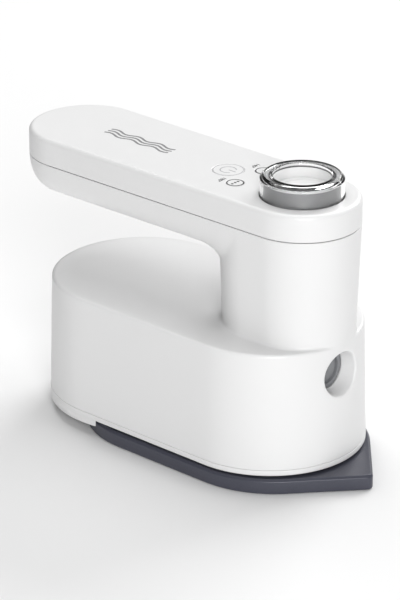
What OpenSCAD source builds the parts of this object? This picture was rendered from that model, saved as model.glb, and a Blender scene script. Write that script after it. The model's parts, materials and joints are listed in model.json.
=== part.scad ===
// Compact travel iron with a mist pump: a pointed soleplate under a tall base, a column that
// rises from the nose of the base, and a grip that runs back from the column over the base.
// X runs from heel to nose, Y across, Z up. Z = 0 is the ironing surface.

/* [Base] */
// Half width of the base at its lower edge
base_r = 40.1; // [33:0.1:49]
// How far each side leans in between the lower edge and the top
base_draft = 1.4; // [0.5:0.1:2.5]
// Distance between the centres of the heel arc and the nose arc
base_straight = 69.8; // [58:0.1:84]
// Height of the base's top face
base_top = 60.2; // [50:0.1:73]
// Rounding of the base's top edge
base_edge_r = 1.2; // [0.6:0.1:2]
// Wall of the outer mouldings
wall = 2.2; // [1.8:0.1:2.7]
// Height of the skirt's visible band
skirt_h = 2.4; // [1.8:0.1:3]
// How far the skirt's heel pad hangs below its band
heel_drop = 3; // [2:0.1:3.6]

/* [Grip] */
// Radius of the grip's heel end
grip_heel_r = 24.9; // [21:0.1:29]
// Radius of the grip's nose end, over the column
grip_nose_r = 24.1; // [21:0.1:28]
// How far the centre of the grip's heel end lies behind the base's heel centre
grip_reach = 31.4; // [26:0.1:38]
// Clear height for the fingers between the base and the grip
finger_gap = 33; // [27:0.1:40]
// Depth of the grip's lower half, from its flat underside to the seam
grip_depth = 13.7; // [11.4:0.1:16.5]
// Width of the underside's rounding, seen in plan
grip_round = 7.1; // [5.9:0.1:8.6]
// Height of the grip's top cover
cover_h = 11.4; // [9.5:0.1:13.7]
// Rounding of the cover's top edge
cover_edge_r = 2; // [1:0.1:3]
// Radius of the column at its foot
column_foot_r = 22.5; // [21.5:0.1:24]
// Straight stretch of the column between its two round ends
column_straight = 12.2; // [10:0.1:15]
// Radius of the blend between the column's back and the grip
column_blend = 10; // [6:0.1:12]

/* [Soleplate] */
// Thickness of the soleplate
sole_h = 6.5; // [5.4:0.1:7.8]
// Gap between the soleplate and the skirt
sole_gap = 1; // [0.6:0.1:1.5]
// How far the soleplate's sides stand out past the base
sole_lip = 0.6; // [0.2:0.1:1.5]
// Centre of the soleplate's round heel, in front of the base's heel centre
sole_heel_x = 22; // [18:0.1:26]
// Extra radius of the two shoulders where the sides turn in to the point
sole_shoulder = 1.8; // [1:0.1:3]
// Angle that each shoulder turns through before the straight flank
sole_flank = 48.6; // [44:0.1:52]
// Rounding of the point
sole_tip_r = 2.8; // [1.5:0.1:4]
// Radius of the heater's sheath
heater_r = 3; // [2.5:0.1:3.6]
// Distance from the centre line to each leg of the heater
heater_leg_y = 16; // [13.4:0.1:17]
// Length of the heater's straight legs
heater_leg = 62; // [52:0.1:66]

/* [Mist pump] */
// Radius of the spray button at the cover
button_r = 17; // [14.2:0.1:18]
// How far the button stands up from the cover
button_proud = 8.6; // [7.2:0.1:10.3]
// Travel of the button
button_travel = 5; // [4:0.1:5.5]
// Width of the button's flat rim, round the hollow in its top
button_rim = 5; // [4.4:0.1:6]
// Wall of the clear button cap
cap_wall = 1.6; // [1.3:0.1:1.9]
// Bore radius of the pump barrel
barrel_bore_r = 5.2; // [4.3:0.1:6.3]
// Wall of the pump barrel
barrel_wall = 1.8; // [1.5:0.1:2.2]
// Length of the pump barrel below its flange
barrel_len = 24; // [20:0.1:27]
// Outer radius of the dip tube
dip_r = 1.8; // [1.5:0.1:2.1]
// Distance of the mist hole's centre below the base's top face
mist_drop = 13.9; // [12:0.1:16]
// Radius of the mist hole at its mouth
mist_mouth_r = 9.4; // [8.8:0.1:10]
// Radius of the nozzle
nozzle_r = 8.1; // [6.8:0.1:8.4]

/* [Controls] */
// Distance of the power key behind the button's centre
key_back = 39.2; // [34:0.1:44]
// Radius of the power key
key_r = 6.5; // [5.4:0.1:7.6]
// Travel of the power key
key_travel = 0.6; // [0.4:0.1:0.8]
// Distance of the two indicator windows behind the button's centre
window_back = 27.7; // [25:0.1:29]
// Distance of each indicator window from the centre line
window_y = 8.8; // [8:0.1:10.5]
// Radius of an indicator window
window_r = 3.7; // [3.1:0.1:4.4]
// Thickness of the circuit board
board_h = 1.6; // [1:0.1:2]
// Bore radius of the power inlet
jack_bore_r = 2.75; // [2.3:0.05:3.2]

/* [Clearances] */
// Radial running fit of a shaft or piston
fit = 0.05; // [0.02:0.01:0.1]
// Gap between pieces that are assembled and stay put
seat = 0.15; // [0.1:0.01:0.25]
// Gap round a moving moulding
air = 0.3; // [0.2:0.05:0.4]

/* [Hidden] */
$fn = 96;

skirt_z = sole_h + sole_gap;
seam_z = skirt_z + skirt_h;
base_top_r = base_r - base_draft;
under_z = base_top + finger_gap;
split_z = under_z + grip_depth;
top_z = split_z + cover_h;

nose_x = base_straight + base_top_r + 0.2 - column_foot_r;
column_x = nose_x - column_straight;
grip_heel = [-grip_reach, grip_heel_r];
grip_nose = [nose_x, grip_nose_r];

function base_edge(z) = base_r - base_draft * (z - skirt_z) / (base_top - skirt_z);
function column_edge(z) =
    column_foot_r + (grip_nose_r - column_foot_r) * (z - base_top) / (split_z - base_top);
function grip_half(x) =
    grip_heel_r + (grip_nose_r - grip_heel_r) * (x + grip_reach) / (nose_x + grip_reach);
function arc(c, r, from, to, n = 10) =
    [for (i = [0:n]) let (a = from + (to - from) * i / n) [c[0] + r[0] * cos(a), c[1] + r[1] * sin(a)]];

sole_r = base_r + sole_lip;
sole_turn_x = base_straight + 0.8;
sole_shoulder_r = sole_r + sole_shoulder;
sole_shoulder_end = [sole_turn_x + sole_shoulder_r * sin(sole_flank),
                     sole_shoulder_r * cos(sole_flank) - sole_shoulder];
sole_apex_x = sole_shoulder_end[0] + sole_shoulder_end[1] * cos(sole_flank) / sin(sole_flank);
sole_tip_x = sole_apex_x - sole_tip_r / sin(sole_flank);
sole_screw_at = [for (x = [8, base_straight - 7], s = [-1, 1]) [x, s * (base_r - 9), 0]];
mica_r = 4.6;
screw_r = 1.5;
screw_head_r = 3;
screw_head_h = 1.9;
window_floor_r = heater_leg_y + heater_r + 3;

clamp_z = sole_h + 2 * heater_r + 0.2;
clamp_h = 1.2;
shield_z = clamp_z + clamp_h + screw_head_h + 0.7;
shield_h = 0.7;
pad_h = 3.7;
tank_z = shield_z + shield_h + pad_h + 0.4;
tank_top = base_top - wall - 6;
tank_wall = 1.6;
tank_r = base_top_r - wall - 5.5;
shield_r = tank_r - 0.5;
post_at = [for (x = [20, base_straight - 20], s = [-1, 1]) [x, s * (window_floor_r + 3.5), 0]];

barrel_r = barrel_bore_r + barrel_wall;
well_bore_r = barrel_r + 0.6;
well_r = well_bore_r + 1.4;
tube_r = 2;
tube_x = nose_x + well_r + tube_r + 0.3;

mist_z = base_top - mist_drop;
front_x = base_straight + base_edge(mist_z);
nozzle_x = tube_x + 3.2;
mist_depth = front_x - nozzle_x;
nozzle_h = 4;
nozzle_back_x = nozzle_x - nozzle_h - 0.4;
tank_front_x = nozzle_back_x - 1.2;
tank_nose_x = tank_front_x - tank_r;

pump_seat_z = split_z - 6.4;
pump_flange_h = 2.5;
pump_flange_r = button_r - 2.5;
button_hollow_r = button_r - button_rim;
barrel_z = pump_seat_z - barrel_len;
barrel_floor_z = barrel_z + 5;
barrel_top_z = pump_seat_z + pump_flange_h + 1.5;
spigot_r = 4;
spigot_len = 10;
well_floor_z = barrel_z - 0.5;
neck_r = spigot_r + 2.2;
lid_neck_bore_r = neck_r + 0.1;
lid_neck_r = lid_neck_bore_r + 1.7;
lid_neck_h = 12;
lid_h = 2;
port_z = barrel_floor_z + 1.1;
ear_y = column_edge(pump_seat_z) - wall - 3.5;
ear_r = 3.7;
collar_top_z = pump_seat_z + pump_flange_h + 3.5;
stem_r = 2.6;
piston_r = barrel_bore_r - fit;
piston_z = barrel_floor_z + button_travel + 1.5;
piston_h = 5;
cap_low_z = collar_top_z + button_travel + 1.8;
button_top_z = top_z + button_proud;
web_z = top_z - 1.8;
web_h = 2;
hub_r = 4.5;
spring_r = 6.6;
spring_wire_r = 0.45;
core_out_r = button_r - cap_wall - seat;
inner_wall_r = button_hollow_r + 1.2;

key_x = nose_x - key_back;
window_x = nose_x - window_back;
board_z = split_z + 0.6;
board_top_z = board_z + board_h;
board_from_x = 3 - grip_reach;
board_to_x = window_x + 5.5;
board_half = 15;
board_post_at = [for (x = [board_from_x + 5, key_x - 11], s = [-1, 1]) [x, s * 11.5, 0]];
ceiling_z = top_z - wall;
key_flange_h = 0.7;
key_stem_z = board_top_z + 5.1;
switch_h = 3.5;
plunger_r = 1.7;
jack_z = under_z + 7.8;
jack_r = 4;
jack_flange_r = 5.4;
jack_face_x = -grip_reach - grip_heel_r + 1.5;
jack_boss_x = jack_face_x + wall + 1.8;
lead_r = 0.9;
heel_lead_x = -(tank_r + base_top_r - wall) / 2 - 0.4;
body_screw_at = [for (s = [-1, 1]) (base_r - wall - 2.4) * [-cos(24), s * sin(24), 0]];
clip_x = [-10, 24];

// ---------------------------------------------------------------- helpers

// Carries a wall's section round a track with round ends. heel and nose are [x, radius].
// The section is drawn in the plane of radius and height, and $edge_r is its outer radius.
module swept(heel, nose) {
    lean = asin((heel[1] - nose[1]) / (nose[0] - heel[0]));
    $edge_r = heel[1];
    translate([heel[0], 0, 0]) {
        rotate([0, 0, 90 - lean]) rotate_extrude(angle = 180 + 2 * lean) children();
        for (s = [0, 1]) mirror([0, s, 0]) rotate([0, 0, -lean]) rotate([90, 0, 90])
            linear_extrude((nose[0] - heel[0]) * cos(lean)) children();
    }
    translate([nose[0], 0, 0]) rotate([0, 0, lean - 90])
        nose_end(nose[1], 180 - 2 * lean) children();
}

module nose_end(r, turn) {
    $edge_r = r;
    rotate_extrude(angle = turn) children();
}

module rod(z0, z1, r) translate([0, 0, z0]) cylinder(h = z1 - z0, r = r);

module pipe(z0, z1, r_out, r_in) difference() {
    rod(z0, z1, r_out);
    rod(z0 - 1, z1 + 1, r_in);
}

module o_ring(z, r_in, r_out)
    translate([0, 0, z]) rotate_extrude() translate([(r_in + r_out) / 2, 0]) circle(r = (r_out - r_in) / 2);

module along_x(x0, y0, z0) translate([x0, y0, z0]) rotate([0, 90, 0]) children();

module on_axis() translate([nose_x, 0, 0]) children();

module at(places) for (p = places) translate(p) children();

module slab(x0, x1, half, z0, z1) translate([x0, -half, z0]) cube([x1 - x0, 2 * half, z1 - z0]);

// A pan-head screw that points down, its head's seat at z = 0
module screw(len, r = screw_r, head_r = screw_head_r, head_h = screw_head_h) difference() {
    union() {
        rod(-len, 0.1, r);
        rod(0, head_h, head_r);
    }
    for (a = [0, 90]) rotate([0, 0, a]) translate([-head_r * 0.6, -0.35, head_h - 0.9])
        cube([head_r * 1.2, 0.7, 1.2]);
}

// An insulated lead through a list of points
module lead(points, r = lead_r) for (i = [0:len(points) - 2]) hull() {
    translate(points[i]) sphere(r = r, $fn = 8);
    translate(points[i + 1]) sphere(r = r, $fn = 8);
}

// A coil spring standing on z = 0, worked out as rings of points along a helix
module coil(r, wire, h, turns, steps = 22, sides = 8) {
    n = turns * steps;
    rise = h - 2 * wire;
    points = [for (i = [0:n], j = [0:sides - 1])
        let (a = 360 * i / steps, b = 360 * j / sides, q = r + wire * cos(b))
        [q * cos(a), q * sin(a), wire + rise * i / n + wire * sin(b)]];
    skin = [for (i = [0:n - 1], j = [0:sides - 1])
        let (k = (j + 1) % sides)
        [i * sides + j, (i + 1) * sides + j, (i + 1) * sides + k, i * sides + k]];
    ends = [[for (j = [0:sides - 1]) j], [for (j = [0:sides - 1]) (n + 1) * sides - 1 - j]];
    polyhedron(points = points, faces = concat(skin, ends));
}

// ---------------------------------------------------------------- outlines

module base_section(z0, z1, inset = 0)
    polygon([[0, z0], [base_edge(z0) - inset, z0], [base_edge(z1) - inset, z1], [0, z1]]);

module base_swept() swept([0, base_r], [base_straight, base_r]) children();

module ring_section(z0, z1, r0, r1) polygon([[r0, z0], [r1, z0], [r1, z1], [r0, z1]]);

// The lower half of the grip, rounded in to its flat underside by a quarter ellipse
module grip_section(inset = 0) {
    r = $edge_r - inset;
    polygon(concat([[0, split_z], [r, split_z]],
                   arc([r - grip_round, split_z], [grip_round, inset - grip_depth], 0, 90, 12),
                   [[0, under_z + inset]]));
}

module column_section(z0, z1, inset = 0)
    polygon([[0, z0], [column_edge(z0) - inset, z0], [column_edge(z1) - inset, z1], [0, z1]]);

module column_swept() swept([column_x, column_foot_r], [nose_x, column_foot_r]) children();

// The soleplate's outline: four kinds of arc about fixed centres, joined by straight stretches
function sole_outline(inset = 0) =
    let (turn = 90 - sole_flank,
         s = sole_shoulder_r - inset,
         t = sole_tip_r - inset,
         half = concat(arc([sole_turn_x, -sole_shoulder], [s, s], 90, turn, 16),
                       arc([sole_tip_x, 0], [t, t], turn, 0, 5)))
    concat(arc([sole_heel_x, 0], [sole_r - inset, sole_r - inset], 270, 90, 48), half,
           [for (i = [len(half) - 1:-1:0]) [half[i][0], -half[i][1]]]);

// ---------------------------------------------------------------- soleplate and heater

module heater_path(r) {
    for (s = [-1, 1]) along_x(0, s * heater_leg_y, 0) cylinder(h = heater_leg, r = r);
    translate([heater_leg, 0, 0]) rotate([0, 0, -90])
        rotate_extrude(angle = 180) translate([heater_leg_y, 0]) circle(r = r);
}

module soleplate() color("#4b4d58") difference() {
    union() {
        linear_extrude(sole_h) polygon(sole_outline());
        for (s = [-1, 1]) translate([0, s * heater_leg_y - heater_r - 1.6, sole_h - 1])
            cube([heater_leg, 2 * heater_r + 3.2, heater_r + 1]);
        translate([heater_leg, 0, sole_h - 1]) difference() {
            rod(0, heater_r + 1, heater_leg_y + heater_r + 1.6);
            rod(-1, heater_r + 2, heater_leg_y - heater_r - 1.6);
            translate([-40, -40, -1]) cube([40, 80, heater_r + 3]);
        }
        translate([32, 0, sole_h - 1]) rod(0, 2.2, 5);
    }
    translate([0, 0, sole_h + heater_r]) heater_path(heater_r + fit);
    at(sole_screw_at) rod(1.5, sole_h + 1, screw_r + fit);
    translate([32, 0, 0]) rod(2.5, sole_h + 2, screw_r + fit);
}

module heating_element() color("silver")
    translate([0, 0, sole_h + heater_r]) heater_path(heater_r);

module heater_pins() color("lightgray") for (s = [-1, 1])
    along_x(0, s * heater_leg_y, sole_h + heater_r) {
        rod(-3, 0, 2.2);
        rod(-11, -2, 1.1);
    }

module heater_clamp() color("silver") difference() {
    slab(28, 36, heater_leg_y + 1, clamp_z, clamp_z + clamp_h);
    translate([32, 0, 0]) rod(0, 40, screw_r + 0.2);
}

module clamp_screw() color("gray")
    translate([32, 0, clamp_z + clamp_h]) screw(2 * heater_r + 4.4);

module thermistor() color("silver") translate([48, 0, sole_h]) {
    translate([-6, -3, 0]) cube([9, 6, 0.8]);
    rod(0.4, 3.2, 2.4);
}

module thermal_fuse() color("ivory") along_x(8, 0, sole_h + 2.8) rod(0, 12, 2);

module fuse_clip() color("lightgray") translate([14, 0, sole_h]) difference() {
    translate([-2, -5.5, 0]) cube([4, 11, 6]);
    translate([-3, -5.6, 1]) cube([6, 3.2, 6]);
    translate([-3, 2.4, 1]) cube([6, 3.2, 6]);
    along_x(-3, 0, 2.8) cylinder(h = 6, r = 2 + fit);
}

module mica_washers() color("darkkhaki") at(sole_screw_at)
    pipe(sole_h, skirt_z, mica_r, screw_r + 0.2);

module soleplate_screws() color("gray") at(sole_screw_at)
    translate([0, 0, seam_z]) screw(seam_z - 2.2);

// ---------------------------------------------------------------- skirt and shielding

module skirt_hook(grow = 0) for (s = [-1, 1])
    translate([base_straight / 2 - 5 - grow, s * (base_r - wall - 1.5) - 0.7 - grow, 0]) {
        translate([0, 0, seam_z - 1]) cube([10 + 2 * grow, 1.4 + 2 * grow, 8 + grow]);
        translate([0, s * 1.1, seam_z + 4.4 - grow])
            cube([10 + 2 * grow, 1.4 + 2 * grow, 1.6 + 2 * grow]);
    }

module base_skirt() color("whitesmoke") difference() {
    union() {
        base_swept() base_section(skirt_z, seam_z);
        base_swept() ring_section(seam_z - 1, seam_z + 2, base_r - wall - 1.6, base_r - wall - 0.4);
        difference() {
            swept([0, base_r], [base_straight, base_r])
                base_section(skirt_z - heel_drop, skirt_z + 0.5, 0.5);
            translate([sole_heel_x, 0, skirt_z - heel_drop - 1])
                cylinder(h = heel_drop + 1, r = sole_r + 1);
            translate([sole_heel_x, -60, skirt_z - heel_drop - 1]) cube([120, 120, heel_drop + 1]);
        }
        at(post_at) rod(seam_z - 1, shield_z, 2.8);
        skirt_hook();
    }
    swept([0, window_floor_r], [heater_leg + 2, window_floor_r])
        ring_section(skirt_z - 1, seam_z + 1, 0, window_floor_r);
    at(sole_screw_at) rod(skirt_z - 1, seam_z + 3, screw_r + 0.2);
    at(post_at) rod(seam_z, shield_z + 1, 1.25);
    at(body_screw_at) {
        rod(seam_z, seam_z + 3, 3.3);
        rod(0, seam_z + 1, screw_r + 0.2);
        rod(0, skirt_z - 0.8, screw_head_r + 0.3);
    }
}

module body_screws() color("gray") at(body_screw_at)
    translate([0, 0, skirt_z - 0.8]) mirror([0, 0, 1]) screw(12);

module heat_shield() color("silver") difference() {
    swept([0, shield_r], [tank_nose_x, shield_r]) {
        ring_section(shield_z, shield_z + shield_h, 0, shield_r);
        ring_section(shield_z - 2, shield_z + 0.1, shield_r - shield_h, shield_r);
    }
    at(post_at) rod(shield_z - 1, shield_z + 2, 1.4);
}

module shield_screws() color("gray") at(post_at)
    translate([0, 0, shield_z + shield_h]) screw(4.6, 1.2, 2.4, 1.5);

module insulation_pad() color("linen") difference() {
    swept([0, shield_r], [tank_nose_x, shield_r])
        ring_section(shield_z + shield_h, shield_z + shield_h + pad_h, 0, shield_r);
    at(post_at) rod(shield_z, shield_z + 8, 3);
}

// ---------------------------------------------------------------- water tank and pump well

module water_tank() color("#d8e6ee") difference() {
    swept([0, tank_r], [tank_nose_x, tank_r]) ring_section(tank_z, tank_top, 0, tank_r);
    swept([0, tank_r - tank_wall], [tank_nose_x, tank_r - tank_wall])
        ring_section(tank_z + tank_wall, tank_top + 1, 0, tank_r - tank_wall);
}

module tank_lid() color("#c6dae4") difference() {
    union() {
        swept([0, tank_r], [tank_nose_x, tank_r])
            ring_section(tank_top, tank_top + lid_h, 0, tank_r);
        on_axis() rod(tank_top, tank_top + lid_neck_h, lid_neck_r);
    }
    on_axis() rod(tank_top - 1, tank_top + lid_neck_h + 1, lid_neck_bore_r);
}

module neck_seal() color("#404040") on_axis()
    o_ring(tank_top + 7, neck_r - 0.9, lid_neck_bore_r);

module pump_well() color("lightsteelblue") difference() {
    union() {
        on_axis() {
            rod(well_floor_z - 2.2, pump_seat_z, well_r);
            rod(pump_seat_z - pump_flange_h, pump_seat_z, pump_flange_r + 0.3);
            rod(tank_top + 3, well_floor_z, neck_r);
            translate([-3.2, -ear_y, pump_seat_z - pump_flange_h]) cube([6.4, 2 * ear_y, pump_flange_h]);
            for (s = [-1, 1]) translate([0, s * ear_y, 0])
                rod(pump_seat_z - pump_flange_h, pump_seat_z, 3.2);
        }
        along_x(nose_x + well_bore_r + 0.8, 0, port_z)
            cylinder(h = tube_x - nose_x - well_bore_r + 1, r = 1.8);
        translate([tube_x, 0, 0]) rod(port_z - 7, port_z, 1.4);
    }
    on_axis() {
        rod(well_floor_z, pump_seat_z + 1, well_bore_r);
        rod(tank_top, well_floor_z + 1, spigot_r + 0.4);
        for (s = [-1, 1]) translate([0, s * ear_y, 0]) rod(0, top_z, 1.4);
        difference() {
            rod(tank_top + 6.35, tank_top + 7.65, neck_r + 1);
            rod(tank_top + 6, tank_top + 8, neck_r - 0.9);
        }
    }
    along_x(nose_x, 0, port_z) cylinder(h = tube_x - nose_x, r = 0.9);
    translate([tube_x, 0, 0]) rod(port_z - 8, port_z, 0.8);
}

module well_screws() color("gray") on_axis()
    for (s = [-1, 1]) translate([0, s * ear_y, pump_seat_z]) screw(9, 1.2, 2.4, 1.5);

// ---------------------------------------------------------------- outer mouldings

module base_outside() base_swept() polygon(concat(
    [[0, seam_z], [base_edge(seam_z), seam_z]],
    arc([base_top_r - base_edge_r, base_top - base_edge_r], [base_edge_r, base_edge_r], 0, 90, 6),
    [[0, base_top]]));

// Material under the grip's flat underside that rounds it into the column's back
module back_blend() intersection() {
    translate([column_x, 0, 0]) rotate([0, 0, 90]) rotate_extrude(angle = 180) polygon(concat(
        [[0, under_z - column_blend], [column_edge(under_z - column_blend), under_z - column_blend]],
        arc([column_edge(under_z - column_blend) + column_blend, under_z - column_blend],
            [column_blend, column_blend], 180, 90, 8),
        [[column_edge(under_z) + column_blend, under_z + 1], [0, under_z + 1]]));
    slab(-20, nose_x, grip_nose_r - grip_round, base_top, split_z);
}

module shell_outside() {
    base_outside();
    column_swept() column_section(base_top - base_edge_r, split_z);
    swept(grip_heel, grip_nose) grip_section();
    back_blend();
}

module cover_clips(grow = 0) for (x = clip_x, s = [-1, 1])
    translate([x - 4 - grow, s * (grip_half(x) - wall - 2) - 0.6 - grow, split_z]) {
        translate([0, 0, -5.5 - grow]) cube([8 + 2 * grow, 1.2 + 2 * grow, 8]);
        translate([0, s * 0.9, -5 - grow]) cube([8 + 2 * grow, 1.2 + 2 * grow, 1.4 + 2 * grow]);
    }

module body_shell() color("white") difference() {
    union() {
        difference() {
            shell_outside();
            base_swept() base_section(seam_z - 1, base_top - wall, wall);
            column_swept() column_section(base_top - wall - 1, split_z + 0.5, wall);
            swept([-grip_reach, grip_heel_r], grip_nose) grip_section(wall);
        }
        along_x(nozzle_back_x, 0, mist_z)
            cylinder(h = nozzle_x - nozzle_back_x + mist_depth - wall, r = nozzle_r + 1.9);
        at(body_screw_at) rod(seam_z, seam_z + 13, 3);
        at(board_post_at) rod(under_z + 1, board_z, 2.8);
        on_axis() for (s = [-1, 1]) translate([0, s * ear_y, 0])
            rod(pump_seat_z - 16, pump_seat_z - pump_flange_h, ear_r);
        intersection() {
            along_x(jack_face_x, 0, jack_z) cylinder(h = jack_boss_x - jack_face_x, r = 6);
            swept(grip_heel, grip_nose) grip_section();
        }
    }
    along_x(nozzle_back_x - 1, 0, mist_z) cylinder(h = nozzle_x - nozzle_back_x + 1, r = nozzle_r + seat);
    along_x(nozzle_x - 0.5, 0, mist_z)
        cylinder(h = mist_depth + 0.9, r1 = nozzle_r + 0.1, r2 = mist_mouth_r);
    slab(nozzle_back_x - 1, tube_x + 2.6, 2.5, mist_z + 4, mist_z + nozzle_r + 3);
    at(body_screw_at) rod(seam_z - 1, seam_z + 11, screw_r + fit);
    at(board_post_at) rod(board_z - 8, board_z + 1, 1.25);
    on_axis() for (s = [-1, 1]) translate([0, s * ear_y, 0])
        rod(pump_seat_z - 14, pump_seat_z, 1.25);
    along_x(jack_face_x - 4, 0, jack_z) cylinder(h = 4, r = jack_flange_r + seat);
    along_x(jack_face_x - 1, 0, jack_z) cylinder(h = 9, r = jack_r + seat);
    along_x(jack_boss_x, 0, jack_z) cylinder(h = 3, r = 5.4);
    skirt_hook(0.15);
    cover_clips(0.15);
}

// The rim that drops inside the lower half and keeps the two in line
module cover_lip_section(r) polygon([
    [r - 1.4, split_z - 2.2], [r - 0.3, split_z - 2.2], [r - 0.3, split_z],
    [r + 0.1, split_z], [r + 0.1, split_z + 2], [r - 1.4, split_z + 2]]);

module handle_cover() color("white") {
    difference() {
        swept(grip_heel, grip_nose) polygon(concat(
            [[0, split_z], [$edge_r, split_z]],
            arc([$edge_r - cover_edge_r, top_z - cover_edge_r], [cover_edge_r, cover_edge_r], 0, 90, 8),
            [[0, top_z]]));
        swept(grip_heel, grip_nose) ring_section(split_z - 1, ceiling_z, 0, $edge_r - wall);
        on_axis() rod(split_z, top_z + 1, button_r + air);
        translate([key_x, 0, 0]) rod(split_z, top_z + 1, key_r + 0.1);
        for (s = [-1, 1]) translate([window_x, s * window_y, 0])
            rod(split_z, top_z + 1, window_r + 0.05);
    }
    difference() {
        swept(grip_heel, grip_nose) cover_lip_section($edge_r - wall);
        slab(-grip_reach - 40, -grip_reach, 8, 0, split_z);
        for (x = clip_x) translate([x - 4.6, -60, split_z - 3]) cube([9.2, 120, 3]);
    }
    cover_clips();
}

// ---------------------------------------------------------------- controls and wiring

module window(side) translate([window_x, side * window_y, 0]) {
    rod(ceiling_z, top_z, window_r);
    rod(board_top_z + 4, ceiling_z + 0.1, 2);
}

module high_window() color("#50525a") window(-1);

module low_window() color("#50525a") window(1);

module control_board() color("seagreen") difference() {
    slab(board_from_x, board_to_x, board_half, board_z, board_top_z);
    at(board_post_at) rod(0, top_z, 1.4);
}

module board_screws() color("gray") at(board_post_at)
    translate([0, 0, board_top_z]) screw(7.5, 1.2, 2.4, 1.5);

module tact_switch() color("#303030") translate([key_x, 0, 0]) difference() {
    translate([-3, -3, board_top_z]) cube([6, 6, switch_h]);
    rod(board_top_z + 1.6, board_top_z + switch_h + 1, plunger_r + fit);
}

module led_lamps() color("mistyrose") for (s = [-1, 1]) translate([window_x, s * window_y, 0]) {
    rod(board_top_z, board_top_z + 1, 1.9);
    rod(board_top_z + 0.9, board_top_z + 3.4, 1.5);
}

module relay() color("#2b4a7a") slab(-20, -1, 6, board_z - 9, board_z);

module capacitor() color("#333a55") translate([10, 0, board_z - 4.6]) along_x(0, 0, 0) rod(0, 12, 4.2);

module lead_terminal() color("#4d8a57") slab(key_x - 19, key_x - 14, 8, board_z - 8, board_z);

module dc_jack() color("#2a2a2c") along_x(jack_face_x, 0, jack_z) difference() {
    union() {
        rod(-1, 0, jack_flange_r);
        rod(-0.1, 13, jack_r);
    }
    rod(-2, 9, jack_bore_r);
}

module jack_nut() color("silver") along_x(jack_boss_x, 0, jack_z) difference() {
    cylinder(h = 2, r = 5.2, $fn = 6);
    rod(-1, 3, jack_r + fit);
}

module power_leads() color("firebrick") for (s = [-1, 1])
    lead([[jack_face_x + 14, s * 2, jack_z], [jack_face_x + 16, s * 3, jack_z],
          [board_from_x + 1.5, s * 4, board_z - 2.4], [board_from_x + 2, s * 4, board_z - 0.9]]);

// The way from the heater at the heel, up behind the tank, over its lid and up the column
function loom(y) = [[heel_lead_x + 4, y, seam_z + 2], [heel_lead_x, y, seam_z + 5],
    [heel_lead_x, y, tank_top + 2], [heel_lead_x + 2, y, tank_top + lid_h + 2],
    [column_x - 13, y, tank_top + lid_h + 2], [column_x - 11, y, base_top + 6],
    [column_x - 12, y, under_z + wall + 3], [key_x - 12, y, under_z + wall + 3]];

module heater_leads() color("crimson") for (s = [-1, 1])
    lead(concat([[-12, s * heater_leg_y, sole_h + heater_r], [-15, s * heater_leg_y, seam_z + 1.6],
                 [heel_lead_x + 9, s * 7, seam_z + 1.6]], loom(s * 4.5),
                [[key_x - 16.5, s * 4.5, board_z - 9]]));

module sensor_leads() color("ivory")
    lead(concat([[7, 0, sole_h + 2.8], [-8, 0, sole_h + 3]], loom(0),
                [[key_x - 16.5, 0, board_z - 9]]), 0.8);

// ---------------------------------------------------------------- nozzle

module outlet_tube() color("#e6e6dc") translate([tube_x, 0, 0])
    pipe(base_top - 4.4, port_z - 2.2, tube_r, 1.4 + fit);

module nozzle_body() color("#8c8e93") difference() {
    union() {
        along_x(nozzle_back_x, 0, mist_z) cylinder(h = nozzle_h, r = nozzle_r);
        translate([tube_x, 0, 0]) rod(mist_z, base_top + 0.6, 1.4);
    }
    along_x(nozzle_x - 2, 0, mist_z) cylinder(h = nozzle_h, r = nozzle_r - 1.8);
    along_x(tube_x, 0, mist_z) cylinder(h = 2, r = 0.8);
    translate([tube_x, 0, 0]) {
        rod(mist_z, base_top + 2, 0.7);
        rod(mist_z - 0.5, mist_z + 5, 1);
    }
}

module outlet_valve() color("#d0d0c8") translate([tube_x, 0, 0])
    pipe(mist_z + 2.6, mist_z + 4.9, 0.95, 0.25);

module nozzle_insert() color("#9a9ca1") along_x(nozzle_x - 1.98, 0, mist_z) difference() {
    union() {
        cylinder(h = 1, r = nozzle_r - 1.95);
        cylinder(h = 1.6, r = nozzle_r - 3.6);
    }
    rod(-1, 5, 0.5);
    translate([0, 0, 1.1]) cylinder(h = 0.6, r1 = 0.5, r2 = 2.4);
}

module nozzle_ring() color("#77797e") along_x(nozzle_x - 0.38, 0, mist_z)
    pipe(0, 0.5, nozzle_r, nozzle_r - 1.7);

// ---------------------------------------------------------------- pump

module seal_grooves(z, depth) difference() {
    rod(z - 0.65, z + 0.65, barrel_r + 1);
    rod(z - 1, z + 1, barrel_r - depth);
}

module pump_barrel() color("#dfe3e6") on_axis() difference() {
    union() {
        rod(barrel_z, barrel_top_z, barrel_r);
        rod(pump_seat_z, pump_seat_z + pump_flange_h, pump_flange_r);
        rod(barrel_z - spigot_len, barrel_z + 0.1, spigot_r);
    }
    rod(barrel_floor_z, barrel_top_z + 1, barrel_bore_r);
    rod(barrel_z - 1, barrel_floor_z + 0.1, 2.3);
    rod(barrel_z - spigot_len - 1, barrel_z, dip_r + fit);
    along_x(3, 0, port_z) cylinder(h = 10, r = 0.9);
    seal_grooves(port_z + 5, 0.6);
    seal_grooves(port_z - 4.4, 0.6);
    difference() {
        rod(barrel_z - 5.65, barrel_z - 4.35, spigot_r + 1);
        rod(barrel_z - 6, barrel_z - 4, spigot_r - 0.6);
    }
}

module pump_collar() color("#c9ced2") on_axis() difference() {
    rod(pump_seat_z + pump_flange_h, collar_top_z, barrel_r + 2);
    rod(pump_seat_z, barrel_top_z + 0.1, barrel_r + 0.05);
    rod(pump_seat_z, collar_top_z + 1, stem_r + fit);
}

module pump_seals() color("#404040") on_axis() {
    for (z = [port_z + 5, port_z - 4.4]) o_ring(z, barrel_r - 0.6, well_bore_r - 0.06);
    o_ring(barrel_z - 5, spigot_r - 0.6, spigot_r + 0.34);
}

module inlet_ball() color("silver") translate([nose_x, 0, barrel_z + 1.6]) sphere(r = 1.7);

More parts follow.
